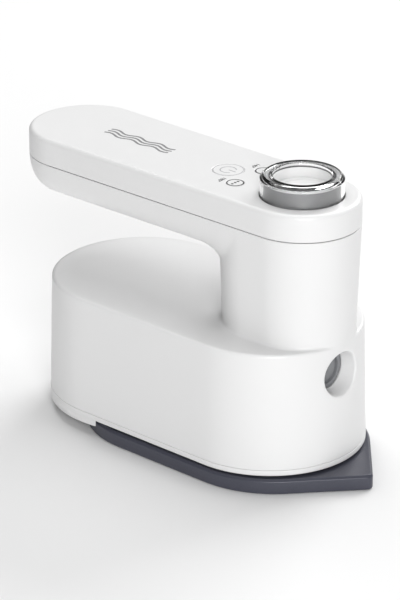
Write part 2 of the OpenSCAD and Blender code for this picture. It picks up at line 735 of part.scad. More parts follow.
module dip_tube() color("#eef2f4") on_axis() pipe(tank_z + tank_wall + 2, barrel_z - 0.4, dip_r, 1);

module pump_spring() color("silver") translate([nose_x, 0, collar_top_z + 0.02])
    coil(spring_r, spring_wire_r, web_z - collar_top_z - 0.04, 5);

module pump_piston() color("#f0f0ee") on_axis() difference() {
    union() {
        rod(piston_z, piston_z + piston_h, piston_r);
        rod(piston_z + piston_h - 0.1, web_z + 1, stem_r);
    }
    difference() {
        rod(piston_z + 1.8, piston_z + 3.2, piston_r + 1);
        rod(piston_z, piston_z + 5, piston_r - 0.9);
    }
}

module piston_seal() color("#404040") on_axis()
    o_ring(piston_z + 2.5, piston_r - 0.9, barrel_bore_r - 0.02);

module button_core() color("#9b9da0") on_axis() difference() {
    union() {
        pipe(cap_low_z + 0.3, button_top_z - 2, core_out_r, inner_wall_r + seat);
        rod(web_z, web_z + web_h, core_out_r);
        rod(collar_top_z + button_travel + 1, web_z + 0.1, hub_r);
    }
    rod(collar_top_z, web_z + 1.1, stem_r + 0.02);
}

// The clear cap: an outer wall, a flat rim with rounded shoulders, and an inner wall
module button_cap() color("#dfe8ee", 0.5) on_axis() rotate_extrude() polygon(concat(
    [[button_r - cap_wall, cap_low_z], [button_r, cap_low_z], [button_r, top_z]],
    arc([button_r - 1.3, button_top_z - 1], [1, 1], 0, 90, 6),
    arc([button_hollow_r + 0.5, button_top_z - 0.5], [0.5, 0.5], 90, 180, 5),
    [[button_hollow_r, web_z + web_h + 0.1], [inner_wall_r, web_z + web_h + 0.1],
     [inner_wall_r, button_top_z - 1.7], [button_r - cap_wall, button_top_z - 1.7]]));

// The white dish in the button's hollow, sunk in steps towards its middle
module button_dish() color("#f4f5f6") on_axis() difference() {
    rod(web_z + web_h + 0.05, web_z + web_h + 2.6, button_hollow_r - seat);
    translate([0, 0, web_z + web_h + 41.2]) sphere(r = 40, $fn = 200);
    rod(web_z + web_h + 2, web_z + web_h + 5, button_hollow_r - 2.6);
}

// ---------------------------------------------------------------- power key

module power_key() color("#f2f2f2") translate([key_x, 0, 0]) {
    rod(ceiling_z - key_flange_h, top_z, key_r);
    rod(ceiling_z - key_flange_h - 0.1, ceiling_z - 0.1, key_r + 0.9);
    rod(key_stem_z, ceiling_z, 1.9);
}

module switch_plunger() color("#b8b8b8") translate([key_x, 0, 0])
    rod(board_top_z + 1.6 + key_travel + 0.1, key_stem_z - 0.02, plunger_r);

// ---------------------------------------------------------------- nodes

soleplate();
heating_element();
heater_pins();
heater_clamp();
clamp_screw();
thermistor();
thermal_fuse();
fuse_clip();
mica_washers();
soleplate_screws();
base_skirt();
body_screws();
heat_shield();
shield_screws();
insulation_pad();
water_tank();
tank_lid();
neck_seal();
pump_well();
well_screws();
body_shell();
handle_cover();
high_window();
low_window();
control_board();
board_screws();
tact_switch();
led_lamps();
relay();
capacitor();
lead_terminal();
dc_jack();
jack_nut();
power_leads();
heater_leads();
sensor_leads();
outlet_tube();
outlet_valve();
nozzle_body();
nozzle_insert();
nozzle_ring();
pump_barrel();
pump_collar();
pump_seals();
inlet_ball();
dip_tube();
pump_spring();
pump_piston();
piston_seal();
button_core();
button_cap();
button_dish();
power_key();
switch_plunger();
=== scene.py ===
# %% [markdown]
# A compact travel iron with a mist pump, dressed on top of its engineering model.
# The engineering model is the fixed frame: every piece below takes its place from the boxes of
# that frame's nodes, so nothing has to be fitted by eye. Lengths are worked out in millimetres,
# because that is how such a moulding is drawn, and turned into metres when a mesh is made.

# %% The frame, and the boxes of its parts
import json
import math
import bmesh
import bpy
import numpy as np
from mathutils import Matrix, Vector
from mathutils.geometry import delaunay_2d_cdt


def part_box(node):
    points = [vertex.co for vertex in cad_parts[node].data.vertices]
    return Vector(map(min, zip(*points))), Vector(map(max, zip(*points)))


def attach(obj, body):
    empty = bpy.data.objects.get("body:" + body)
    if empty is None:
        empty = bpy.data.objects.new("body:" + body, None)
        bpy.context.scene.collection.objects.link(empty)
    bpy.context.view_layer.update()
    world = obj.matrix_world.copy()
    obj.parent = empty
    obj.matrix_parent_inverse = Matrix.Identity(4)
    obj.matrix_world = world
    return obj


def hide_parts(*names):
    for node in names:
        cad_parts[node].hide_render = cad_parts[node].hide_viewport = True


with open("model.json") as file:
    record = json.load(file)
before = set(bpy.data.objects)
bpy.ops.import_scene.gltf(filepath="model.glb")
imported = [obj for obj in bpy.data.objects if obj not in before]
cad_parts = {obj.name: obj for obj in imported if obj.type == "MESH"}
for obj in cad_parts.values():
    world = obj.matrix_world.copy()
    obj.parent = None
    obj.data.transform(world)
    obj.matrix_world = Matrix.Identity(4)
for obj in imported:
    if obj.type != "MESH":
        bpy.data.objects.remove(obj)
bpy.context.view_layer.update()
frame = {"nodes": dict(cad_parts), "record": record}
MM = 0.001


def corners(node):
    """The lowest and highest corner of a node of the frame, in millimetres."""
    low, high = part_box(node)
    return np.array(low) / MM, np.array(high) / MM


# %% [markdown]
# Most of the iron's outline is made of "stadiums": two half circles joined by straight sides.
# The base, the column and the grip are all such shapes. If every loop of the skin has the same
# number of points, at the same directions, then loops of different stadiums can be joined into
# one sheet, the way a lofted surface is drawn over ribs.

# %% A loop of directions that every stadium shares
NOSE_STEPS = 54
SIDE_STEPS = 30
HEEL_STEPS = 36


def loop_steps(turn):
    """Two arrays: the direction of each point's normal, and its share of the way from the nose's
    centre to the heel's centre. The nose arc runs from -turn to +turn, the heel arc is the rest."""
    nose = np.linspace(0, turn, NOSE_STEPS, endpoint=False)
    side = np.linspace(0, 1, SIDE_STEPS, endpoint=False)
    heel = np.linspace(turn, 2 * np.pi - turn, 2 * HEEL_STEPS, endpoint=False)
    angle = np.concatenate([nose, np.full(SIDE_STEPS, turn), heel,
                            np.full(SIDE_STEPS, -turn), -turn + nose])
    share = np.concatenate([nose * 0, side, heel * 0 + 1, 1 - side, nose * 0])
    return angle, share


def stadium(heel, nose, inset=0.0):
    """Points of a tapered stadium, inset by a distance: centre(share) + (radius(share) - inset)
    times (cos angle, sin angle). heel and nose are (centre x, radius)."""
    turn = math.acos((heel[1] - nose[1]) / (nose[0] - heel[0]))
    angle, share = loop_steps(turn)
    centre = nose[0] + (heel[0] - nose[0]) * share
    radius = nose[1] + (heel[1] - nose[1]) * share - inset
    return np.stack([centre + radius * np.cos(angle), radius * np.sin(angle)], -1)


LOOP = len(loop_steps(np.pi / 2)[0])
print("points in a loop:", LOOP)

# %% [markdown]
# A skin is a grid of points: rows along one parameter, columns along the other. Four neighbours
# make a face. A closed loop wraps its last column to its first. Where a row shrinks to a point,
# as on an axis, the doubled points are merged so the pole is closed.

# %% From a grid of points to a mesh
def put_mesh(name, points, faces, sharp=35.0, weld=0.0, closed=True):
    """Makes an object from points in millimetres and faces, smooth except across sharp creases."""
    mesh = bpy.data.meshes.new(name)
    mesh.from_pydata((np.asarray(points) * MM).tolist(), [], faces)
    if weld:
        work = bmesh.new()
        work.from_mesh(mesh)
        bmesh.ops.remove_doubles(work, verts=work.verts, dist=weld * MM)
        bmesh.ops.dissolve_degenerate(work, edges=work.edges, dist=1e-8)
        if closed:
            bmesh.ops.recalc_face_normals(work, faces=work.faces)
        work.to_mesh(mesh)
        work.free()
    mesh.update()
    mesh.polygons.foreach_set("use_smooth", np.ones(len(mesh.polygons), bool))
    mesh.set_sharp_from_angle(angle=math.radians(sharp))
    piece = bpy.data.objects.new(name, mesh)
    bpy.context.scene.collection.objects.link(piece)
    return piece


def grid_faces(rows, columns, wrap_columns=True, wrap_rows=False, start=0):
    """Quads between neighbouring points of a grid whose points are stored row by row."""
    j, i = np.meshgrid(np.arange(rows if wrap_rows else rows - 1),
                       np.arange(columns if wrap_columns else columns - 1), indexing="ij")
    down, right = (j + 1) % rows, (i + 1) % columns
    quads = np.stack([j * columns + i, j * columns + right,
                      down * columns + right, down * columns + i], -1).reshape(-1, 4)
    return (quads + start).tolist()


def rounded(points, steps=5, closed=True):
    """A polygon with rounded corners. Each point is (x, z, radius); each corner is replaced by
    an arc that touches both sides: centre = corner + bisector * radius / sin(half angle)."""
    p = np.array(points, float)
    corner, radius = p[:, :2], np.maximum(p[:, 2:], 1e-4)
    back = np.roll(corner, 1, 0) - corner
    ahead = np.roll(corner, -1, 0) - corner
    back /= np.linalg.norm(back, axis=1, keepdims=True) + 1e-12
    ahead /= np.linalg.norm(ahead, axis=1, keepdims=True) + 1e-12
    half = np.arccos(np.clip((back * ahead).sum(1, keepdims=True), -1, 1)) / 2
    middle = back + ahead
    middle /= np.linalg.norm(middle, axis=1, keepdims=True) + 1e-12
    centre = corner + middle * radius / np.sin(half)
    first = corner + back * radius / np.tan(half) - centre
    last = corner + ahead * radius / np.tan(half) - centre
    t = np.linspace(0, 1, steps + 1)[None, :, None]
    arc = first[:, None] * (1 - t) + last[:, None] * t
    arc *= radius[:, None] / (np.linalg.norm(arc, axis=2, keepdims=True) + 1e-12)
    arc += centre[:, None]
    if not closed:
        arc[0], arc[-1] = corner[0], corner[-1]
    return arc.reshape(-1, 2)


def lathe(name, centre, profile, axis="z", turns=96, weld=0.002, sharp=35.0):
    """A closed profile of (radius, height) carried round an axis through centre:
    (radius cos a, radius sin a, height), laid along z or x."""
    a = np.linspace(0, 2 * np.pi, turns, endpoint=False)
    r, h = np.asarray(profile)[:, 0, None], np.asarray(profile)[:, 1, None]
    x, y, z = r * np.cos(a), r * np.sin(a), h + 0 * a
    grid = np.stack([x, y, z] if axis == "z" else [z, x, y], -1).reshape(-1, 3)
    faces = grid_faces(len(profile), turns, wrap_rows=True)
    return put_mesh(name, grid + np.array(centre), faces, sharp=sharp, weld=weld)


def add_wall(piece, thickness):
    """Gives a sheet a wall on its inner side."""
    wall = piece.modifiers.new("wall", "SOLIDIFY")
    wall.thickness = thickness * MM
    wall.offset = -1
    return piece


print("mesh helpers ready")

# %% [markdown]
# The camera stands to the front and right of the iron, a little above it, with a long lens, so
# the verticals stay nearly parallel. It is made first because it never changes.

# %% Camera
EYE = (0.8685, -0.9281, 0.6024)
AIM = (0.05241, -0.02308, 0.06988)
LENS = 197.3

camera = bpy.data.objects.new("camera", bpy.data.cameras.new("camera"))
bpy.context.scene.collection.objects.link(camera)
camera.location = EYE
camera.rotation_euler = (Vector(AIM) - Vector(EYE)).to_track_quat("-Z", "Y").to_euler()
camera.data.lens = LENS
camera.data.sensor_width = 36
camera.data.clip_start = 0.05
bpy.context.scene.camera = camera
print("camera", round((Vector(AIM) - Vector(EYE)).length, 3), "m away")

# %% [markdown]
# A finish is a small sum: take a noise, scale it, add it to a roughness. Written as nodes that is
# a lot of boxes and wires. Here one class wraps an output socket, and the ordinary signs + - * /
# add Math nodes, so a finish reads like the formula it is.

# %% Shader sums as expressions
class Wire:
    """An output socket of a material's node tree. Signs between wires, or a wire and a number,
    add a Math node."""

    def __init__(self, tree, socket):
        self.tree, self.socket = tree, socket

    def node(self, kind, settings=None, inputs=None, output=0):
        """Adds any node: its settings first, then the value or the link of each named socket."""
        made = self.tree.nodes.new("ShaderNode" + kind)
        for key, value in (settings or {}).items():
            if key == "stops":
                ramp = made.color_ramp.elements
                for n, (place, shade) in enumerate(value):
                    stop = ramp[n] if n < 2 else ramp.new(place)
                    stop.position = place
                    stop.color = (shade, shade, shade, 1) if isinstance(shade, float) else shade
            else:
                setattr(made, key, value)
        for key, value in (inputs or {}).items():
            if isinstance(value, Wire):
                self.tree.links.new(value.socket, made.inputs[key])
            else:
                made.inputs[key].default_value = value
        return Wire(self.tree, made.outputs[output])

    def sum_with(self, operation, a, b=0.0):
        return self.node("Math", {"operation": operation}, {0: a, 1: b})

    def __add__(self, other):
        return self.sum_with("ADD", self, other)

    def __radd__(self, other):
        return self.sum_with("ADD", other, self)

    def __sub__(self, other):
        return self.sum_with("SUBTRACT", self, other)

    def __rsub__(self, other):
        return self.sum_with("SUBTRACT", other, self)

    def __mul__(self, other):
        return self.sum_with("MULTIPLY", self, other)

    def __rmul__(self, other):
        return self.sum_with("MULTIPLY", other, self)

    def __truediv__(self, other):
        return self.sum_with("DIVIDE", self, other)

    def ramp(self, *stops):
        """A colour ramp over this wire, from (place, shade) pairs."""
        return self.node("ValToRGB", {"stops": stops}, {"Fac": self})

    def mix(self, a, b):
        """Colour a where this wire is 0, colour b where it is 1."""
        return self.node("Mix", {"data_type": "RGBA"},
                         {0: self, 6: a, 7: b}, output=2)


def start_finish(name):
    """A new material. Returns it, its shader and its Object coordinates."""
    made = bpy.data.materials.new(name)
    made.use_nodes = True
    tree = made.node_tree
    shader = next(n for n in tree.nodes if n.type == "BSDF_PRINCIPLED")
    place = Wire(tree, tree.nodes.new("ShaderNodeTexCoord").outputs["Object"])
    return made, shader, place


def noise(place, scale, detail=2.0, rough=0.5):
    """A soft noise of 0 to 1 over the Object coordinates, `scale` blotches to the metre."""
    return place.node("TexNoise", None, {"Vector": place, "Scale": scale, "Detail": detail,
                                         "Roughness": rough}, output="Fac")


def feed(shader, socket, value):
    """Links a wire, or sets a number or colour, on the shader's own socket."""
    if isinstance(value, Wire):
        value.tree.links.new(value.socket, shader.inputs[socket])
    else:
        shader.inputs[socket].default_value = value


def shade(colour, factor):
    """A colour times a factor, kept at 1 or below."""
    return tuple(min(1.0, c * factor) for c in colour[:3]) + (1.0,)


def moulded(name, colour, rough=0.4, grain=3200.0, depth=0.000012, cloud=0.03, scuff=0.08,
            polish=0.06, **more):
    """A moulded or cast finish. Its colour drifts by `cloud` in soft patches; its roughness is
    raised by handling scuffs and lowered on worn edges by `polish`; a fine spark-eroded grain of
    `depth` metres lies over it as bump."""
    made, shader, place = start_finish(name)
    patches = noise(place, 26.0, 3.0)
    scuffs = noise(place, 210.0, 6.0, 0.7).ramp((0.52, 0.0), (0.72, 1.0))
    handled = noise(place, 70.0, 4.0).ramp((0.45, 0.0), (0.7, 1.0))
    worn = place.node("NewGeometry", output="Pointiness").ramp((0.53, 0.0), (0.62, 1.0)) * handled
    tone = (patches - 0.5) * (2 * cloud) + 0.5
    tint = tone.mix(shade(colour, 1 - 2 * cloud), shade(colour, 1 + 2 * cloud))
    feed(shader, "Base Color", (worn * 0.3).mix(tint, shade(colour, 1.03)))
    feed(shader, "Roughness", rough + (patches - 0.5) * 0.10 + scuffs * scuff - worn * polish)
    fine = noise(place, grain, 2.0)
    feed(shader, "Normal", place.node("Bump", None, {"Height": fine, "Distance": depth,
                                                     "Strength": 1.0}))
    for socket, value in more.items():
        shader.inputs[socket.replace("_", " ")].default_value = value
    return made


print("finish helpers ready")

# %% [markdown]
# The housing is white ABS with a satin surface. The tool is spark-eroded to a very fine grain,
# which spreads the highlights; hands polish the edges a little. The soleplate's coating is a
# sprayed ceramic, slate coloured, with tiny sparkling pigment and a slightly uneven sheen.

# %% Finishes of the outside
FINISH = {
    "white_plastic": moulded("white satin ABS", (0.76, 0.76, 0.76, 1), 0.36, Coat_Weight=0.12,
                             Coat_Roughness=0.2),
    "grey_plastic": moulded("grey satin ABS", (0.33, 0.33, 0.335, 1), 0.42),
    # pale grey ink, also used for the painted shadow ring round the power key
    "pale_print": moulded("pale grey ink and painted gap shadow", (0.42, 0.42, 0.43, 1), 0.45),
    "print": moulded("grey ink", (0.22, 0.22, 0.225, 1), 0.45),
    "dish_plastic": moulded("white polished ABS", (0.84, 0.84, 0.84, 1), 0.22, 2000.0, 4e-6),
    "nozzle_grey": moulded("nozzle grey", (0.20, 0.205, 0.215, 1), 0.34),
    "smoked_plastic": moulded("dark print", (0.035, 0.036, 0.04, 1), 0.45),
    "black_plastic": moulded("black nylon", (0.02, 0.02, 0.022, 1), 0.42),
}


def sprayed_ceramic(name, colour):
    """Slate ceramic: pigment flecks from a cell pattern lift the colour a little, and the coat's
    orange peel is a low, wide bump."""
    made, shader, place = start_finish(name)
    cells = place.node("TexVoronoi", None, {"Vector": place, "Scale": 5200.0}, output="Color")
    flecks = cells.node("SeparateColor", None, {"Color": cells}).ramp((0.80, 0.0), (1.0, 1.0))
    cloud = noise(place, 40.0, 3.0)
    worn = place.node("NewGeometry", output="Pointiness").ramp((0.505, 0.0), (0.55, 1.0))
    base = cloud.mix(shade(colour, 0.92), shade(colour, 1.08))
    flecked = (flecks * 0.25).mix(base, shade(colour, 1.9))
    feed(shader, "Base Color", (worn * 0.5).mix(flecked, shade(colour, 1.5)))
    feed(shader, "Roughness", 0.38 + (cloud - 0.5) * 0.12 - worn * 0.08)
    feed(shader, "Metallic", 0.15)
    peel = noise(place, 900.0, 1.0)
    feed(shader, "Normal", place.node("Bump", None, {"Height": peel, "Distance": 0.00003,
                                                     "Strength": 0.6}))
    return made


FINISH["sole_coating"] = sprayed_ceramic("slate ceramic coating", (0.056, 0.058, 0.078, 1))
print("outside finishes:", ", ".join(sorted(FINISH)))

# %% [markdown]
# Clear acrylic is polished, so it has no grain to speak of. What shows are its long soft flow
# marks and a few hairline scratches, both far too shallow to cloud it.

# %% Clear acrylic
def clear_acrylic(name):
    made, shader, place = start_finish(name)
    flow = noise(place, 60.0, 1.0)
    hairs = place.node("TexNoise", None, {"Vector": place, "Scale": 900.0, "Detail": 4.0},
                       output="Fac").ramp((0.62, 0.0), (0.74, 1.0))
    feed(shader, "Base Color", flow.mix((0.97, 0.975, 0.98, 1), (1, 1, 1, 1)))
    feed(shader, "Roughness", 0.01 + hairs * 0.05)
    feed(shader, "Normal", place.node("Bump", None, {"Height": flow, "Distance": 0.00002,
                                                     "Strength": 0.25}))
    shader.inputs["IOR"].default_value = 1.49
    shader.inputs["Transmission Weight"].default_value = 1.0
    return made


FINISH["clear_plastic"] = clear_acrylic("clear acrylic")
print("clear finish ready")

# %% [markdown]
# Inside the housing every maker's material is different: turned and pressed metals, mica, fibre
# wool, rubber, the lacquered circuit board. They are seen when the iron is opened or the pump is
# lifted out, and each gets the marks of the way it is made.

# %% Finishes of the inside
def brushed(name, colour, rough=0.3, lines=1800.0):
    """Drawn or rolled metal: a noise squeezed along one direction gives fine parallel lines."""
    made, shader, place = start_finish(name)
    squeezed = place.node("Mapping", None, {"Vector": place, "Scale": (1.0, 1.0, 0.06)})
    streaks = noise(squeezed, lines, 3.0)
    cloud = noise(place, 60.0, 3.0)
    feed(shader, "Base Color", cloud.mix(shade(colour, 0.88), shade(colour, 1.06)))
    feed(shader, "Metallic", 1.0)
    feed(shader, "Roughness", rough + (streaks - 0.5) * 0.22 + (cloud - 0.5) * 0.1)
    feed(shader, "Normal", place.node("Bump", None, {"Height": streaks, "Distance": 0.00001,
                                                     "Strength": 0.7}))
    return made


FINISH.update({
    "steel": brushed("zinc plated steel", (0.62, 0.63, 0.64, 1), 0.28),
    "aluminium": brushed("pressed aluminium", (0.78, 0.78, 0.79, 1), 0.36),
    "ceramic_white": moulded("steatite ceramic", (0.78, 0.76, 0.70, 1), 0.6, 1500.0, 2e-5),
    "mica": moulded("mica", (0.55, 0.47, 0.30, 1), 0.35, 700.0, 1e-5, cloud=0.12),
    "fibre_pad": moulded("pressed fibre wool", (0.74, 0.72, 0.66, 1), 0.9, 500.0, 2e-4, cloud=0.1),
    "tank_plastic": moulded("frosted tank", (0.74, 0.78, 0.80, 1), 0.3, 2400.0,
                            Transmission_Weight=0.35, IOR=1.5),
    "black_rubber": moulded("black rubber", (0.025, 0.025, 0.026, 1), 0.7, 1800.0, 2e-5),
    "silicone": moulded("grey silicone", (0.45, 0.44, 0.42, 1), 0.55, 1600.0, 1.5e-5),
    "board_green": moulded("solder lacquer", (0.02, 0.16, 0.07, 1), 0.25, 900.0, 2e-5, cloud=0.1),
    "blue_plastic": moulded("blue relay case", (0.04, 0.10, 0.28, 1), 0.35),
    "terminal_green": moulded("green terminal", (0.06, 0.28, 0.12, 1), 0.4),
    "lamp_resin": moulded("lamp resin", (0.80, 0.55, 0.45, 1), 0.12, 1500.0, 3e-6,
                          Transmission_Weight=0.4),
    "red_insulation": moulded("red insulation", (0.45, 0.02, 0.02, 1), 0.4),
    "ivory_insulation": moulded("ivory insulation", (0.74, 0.68, 0.52, 1), 0.45),
    "pump_plastic": moulded("natural acetal", (0.74, 0.75, 0.76, 1), 0.32),
})
slot_of = {part["node"]: part["material_slot"] for part in frame["record"]["subparts"]}
for node, body_part in frame["nodes"].items():
    body_part.data.materials.clear()
    body_part.data.materials.append(FINISH[slot_of[node]])
print("finishes:", len(FINISH), "on", len(slot_of), "nodes")


def place_piece(piece, body, slot, *nodes, finish=None):
    """Gives a piece its slot's finish, or the finish given, lets it ride on a body and stand for its
    nodes.
    """
    piece.data.materials.append(finish or FINISH[slot])
    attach(piece, body)
    if nodes:
        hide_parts(*nodes)
    return piece


# %% [markdown]
# The soleplate is a die casting with a point at the nose and a round heel. Its outline is a chain
# of arcs, each about its own centre, so moving the outline inwards only shortens the radii. A
# cross section of (inset, height) carried along the outline gives the rounded lower edge, the
# upright side and the fine bevel at the top.

# %% Soleplate
SOLE_SHOULDER = 1.8
SOLE_FLANK = math.radians(48.6)
SOLE_TIP_R = 2.8
sole_low, sole_high = corners("soleplate")
skirt_low, skirt_high = corners("base_skirt")
sole_r = sole_high[1]
sole_heel_x = sole_low[0] + sole_r
sole_top = corners("mica_washers")[0][2]


def sole_loop():
    """Centre, radius and direction of each point: heel half circle, then shoulder and tip arcs
    of the +y side, then their mirror image."""
    turn = np.pi / 2 - SOLE_FLANK
    shoulder_r = sole_r + SOLE_SHOULDER
    tip_x = sole_high[0] - SOLE_TIP_R
    turn_x = tip_x + SOLE_TIP_R / math.sin(SOLE_FLANK) - shoulder_r * math.sin(SOLE_FLANK) - (
        shoulder_r * math.cos(SOLE_FLANK) - SOLE_SHOULDER) / math.tan(SOLE_FLANK)
    heel = np.linspace(-np.pi / 2, -3 * np.pi / 2, 73)
    bend = np.linspace(np.pi / 2, turn, 25)
    tip = np.linspace(turn, -turn, 17)
    side_x = np.linspace(sole_heel_x, turn_x, 9)[1:-1]
    edge_t = np.linspace(0, 1, 17)[1:-1]
    one = np.ones
    parts = [
        (sole_heel_x * one(73), 0 * heel, sole_r * one(73), heel),
        (side_x, 0 * side_x, sole_r * one(7), np.pi / 2 * one(7)),
        (turn_x * one(25), -SOLE_SHOULDER * one(25), shoulder_r * one(25), bend),
        (turn_x + (tip_x - turn_x) * edge_t, -SOLE_SHOULDER * (1 - edge_t),
         shoulder_r + (SOLE_TIP_R - shoulder_r) * edge_t, turn * one(15)),
        (tip_x * one(17), 0 * tip, SOLE_TIP_R * one(17), tip),
        (tip_x + (turn_x - tip_x) * edge_t, SOLE_SHOULDER * edge_t,
         SOLE_TIP_R + (shoulder_r - SOLE_TIP_R) * edge_t, -turn * one(15)),
        (turn_x * one(25), SOLE_SHOULDER * one(25), shoulder_r * one(25), -bend[::-1]),
        (side_x[::-1], 0 * side_x, sole_r * one(7), -np.pi / 2 * one(7)),
    ]
    return [np.concatenate(column) for column in zip(*parts)]


def carry(section, cx, cy, radius, angle):
    """Carries a section of (inset, height) points round a loop of arcs: every point moves in
    along its own normal by the inset."""
    inset, height = section[:, 0, None], section[:, 1, None]
    x = cx + (radius - inset) * np.cos(angle)
    y = cy + (radius - inset) * np.sin(angle)
    return np.stack([x, y, height + 0 * x], -1)


sole_arcs = sole_loop()
sole_section = rounded([(2.5, 0, 0), (0, 0, 0.9), (0, 5.6, 0.5), (0.9, sole_top, 0.35),
                        (2.5, sole_top, 0)], steps=5, closed=False)
sole_grid = carry(sole_section, *sole_arcs)
rows, columns = sole_grid.shape[:2]
sole_faces = grid_faces(rows, columns)
sole_faces.append(list(range(columns))[::-1])
sole_faces.append(list(range((rows - 1) * columns, rows * columns)))
soleplate = put_mesh("soleplate_casting", sole_grid.reshape(-1, 3), sole_faces, sharp=50,
                     weld=0.001)
place_piece(soleplate, "root", "sole_coating", "soleplate")
print("soleplate:", rows, "x", columns, "points")

# %% [markdown]
# The white housing is one moulding: base, column and the lower half of the grip. A modeller would
# loft it; a moulder would describe it as three bodies melted together. Here both ideas are used.
# A sheet of loops is laid roughly over the three bodies, then every point is moved onto the
# surface where a distance formula is zero. The formula joins two bodies with a fillet whose
# radius shrinks where they meet flush, as at the nose, which is what the real tool does.

# %% The three bodies as distance formulas
cover_low, cover_high = corners("handle_cover")
cap_low, cap_high = corners("button_cap")
button_x = (cap_low[0] + cap_high[0]) / 2
COVER_H = 11.4
top_z = cover_high[2]
split_z = top_z - COVER_H
GRIP_ROUND = 7.1
GRIP_DEPTH = 13.7
under_z = split_z - GRIP_DEPTH
base_top = under_z - 33.0
BASE_EDGE_R = 1.2
skirt_z = skirt_low[2] + 3.0
seam_z = skirt_z + 2.4
grip_half_nose = cover_high[0] - button_x
grip_nose = (button_x, grip_half_nose)
grip_heel_r = cover_high[1]
grip_heel = (cover_low[0] + grip_heel_r, grip_heel_r)
base_r = skirt_high[1]
base_length = skirt_high[0] - base_r
BASE_DRAFT = 1.4
COLUMN_FOOT_R = 22.5
COLUMN_DRAFT = 1.6
COLUMN_LENGTH = 12.2


def base_edge(z):
    """The base's radius at a height, with its draft."""
    return base_r - BASE_DRAFT * (z - skirt_z) / (base_top - skirt_z)


def column_edge(z):
    """The column's radius at a height, with its draft."""
    return COLUMN_FOOT_R + COLUMN_DRAFT * (z - base_top) / (split_z - base_top)


def off_segment(p, from_x, to_x):
    """Plan distance from the straight piece of centre line between two x values."""
    return np.hypot(p[..., 0] - np.clip(p[..., 0], from_x, to_x), p[..., 1])


def f_column(p):
    return off_segment(p, button_x - COLUMN_LENGTH, button_x) - column_edge(p[..., 2])


def f_base(p):
    """Upright wall and flat top with a rounded edge: the usual box-corner distance."""
    side = off_segment(p, 0, base_length) - base_edge(p[..., 2]) + BASE_EDGE_R
    up = p[..., 2] - base_top + BASE_EDGE_R
    return (np.minimum(np.maximum(side, up), 0)
            + np.hypot(np.maximum(side, 0), np.maximum(up, 0)) - BASE_EDGE_R)


def f_grip(p):
    """Tapered stadium in plan whose underside is rounded like a quarter ellipse."""
    tilt = (grip_heel[1] - grip_nose[1]) / (grip_nose[0] - grip_heel[0])
    lean = math.sqrt(1 - tilt * tilt)
    side = np.abs(p[..., 1])
    along = p[..., 0] + side * tilt / lean
    share = np.clip((grip_nose[0] - along) / (grip_nose[0] - grip_heel[0]), 0, 1)
    centre = grip_nose[0] + (grip_heel[0] - grip_nose[0]) * share
    radius = grip_nose[1] + (grip_heel[1] - grip_nose[1]) * share
    inset = np.hypot(p[..., 0] - centre, side) - radius
    a = np.maximum(inset + GRIP_ROUND, 0) / GRIP_ROUND
    b = np.maximum(split_z - p[..., 2], 0) / GRIP_DEPTH
    m = np.hypot(a, b) + 1e-9
    return (m - 1) * m / (np.hypot(a / GRIP_ROUND, b / GRIP_DEPTH) + 1e-9)


def slope(f, p, h=0.01):
    """Numerical gradient of a distance formula, by central differences."""
    steps = np.eye(3) * h
    return np.stack([(f(p + s) - f(p - s)) / (2 * h) for s in steps], -1)


def unit(v):
    """v divided by its length."""
    return v / (np.linalg.norm(v, axis=-1, keepdims=True) + 1e-9)


def melt(a, b, fillet):
    """Round union of two distances: a quarter circle of the fillet's radius in the corner."""
    return np.maximum(np.minimum(a, b), fillet) - np.hypot(np.maximum(fillet - a, 0),
                                                           np.maximum(fillet - b, 0))


GRIP_FILLET = 10.0
FOOT_FILLET = 1.3


def settle(p, f, times=7):
    """Moves points onto the zero surface of f along its slope, a few Newton steps."""
    for _ in range(times):
        g = slope(f, p)
        p = p - g * (f(p) / ((g * g).sum(-1) + 1e-6))[..., None]
    return p


print("base top", round(base_top, 1), "underside", round(under_z, 1), "seam", round(split_z, 1))

# %% [markdown]
# The wall of the base carries the mist hole at its nose. A square block of the grid is bent into
# a disc: each point keeps its direction from the hole's centre, but its distance becomes the
# block's own measure, the larger of its two steps. The block's faces are then left out, and the
# rows that follow run from that round edge over a small lip and down a cone.

# %% Loops of the housing
BLOCK = 9
BLEND = 12
MIST_LIP = 0.8
ring_low, ring_high = corners("nozzle_ring")
mist_z = (ring_low[2] + ring_high[2]) / 2
nozzle_r = (ring_high[1] - ring_low[1]) / 2
nozzle_x = ring_high[0]
MIST_MOUTH_R = 9.4
rim_r = MIST_MOUTH_R + MIST_LIP


def base_loop(z, inset=0.0):
    flat = stadium((0, base_r), (base_length, base_r), base_r - base_edge(z) + inset)
    return np.column_stack([flat, np.full(LOOP, z)])


top_outline = base_loop(base_top)[:, :2]
column_centre = np.clip(top_outline[:, 0], button_x - COLUMN_LENGTH, button_x)
column_way = unit(top_outline - np.column_stack([column_centre, np.zeros(LOOP)]))


def column_loop(z):
    """The column's outline, each point nearest to its partner on the base's outline."""
    flat = column_way * np.reshape(column_edge(z) + np.zeros(LOOP), (-1, 1))
    return np.column_stack([flat[:, 0] + column_centre, flat[:, 1], z + np.zeros(LOOP)])


def grip_inset(p):
    """Plan distance outside the grip's outline, negative inside it."""
    tilt = (grip_heel[1] - grip_nose[1]) / (grip_nose[0] - grip_heel[0])
    along = p[..., 0] + np.abs(p[..., 1]) * tilt / math.sqrt(1 - tilt * tilt)
    share = np.clip((grip_nose[0] - along) / (grip_nose[0] - grip_heel[0]), 0, 1)
    centre = grip_nose[0] + (grip_heel[0] - grip_nose[0]) * share
    radius = grip_nose[1] + (grip_heel[1] - grip_nose[1]) * share
    return np.hypot(p[..., 0] - centre, p[..., 1]) - radius


def meet_grip():
    """Walks out from the column along each point's way to the grip's outline, halving the step."""
    near, far = np.zeros(LOOP), np.full(LOOP, 170.0)
    start = np.column_stack([column_centre, np.zeros(LOOP)])
    for _ in range(40):
        middle = (near + far) / 2
        outside = grip_inset(start + column_way * middle[:, None]) > 0
        near, far = np.where(outside, near, middle), np.where(outside, middle, far)
    return start + column_way * near[:, None]


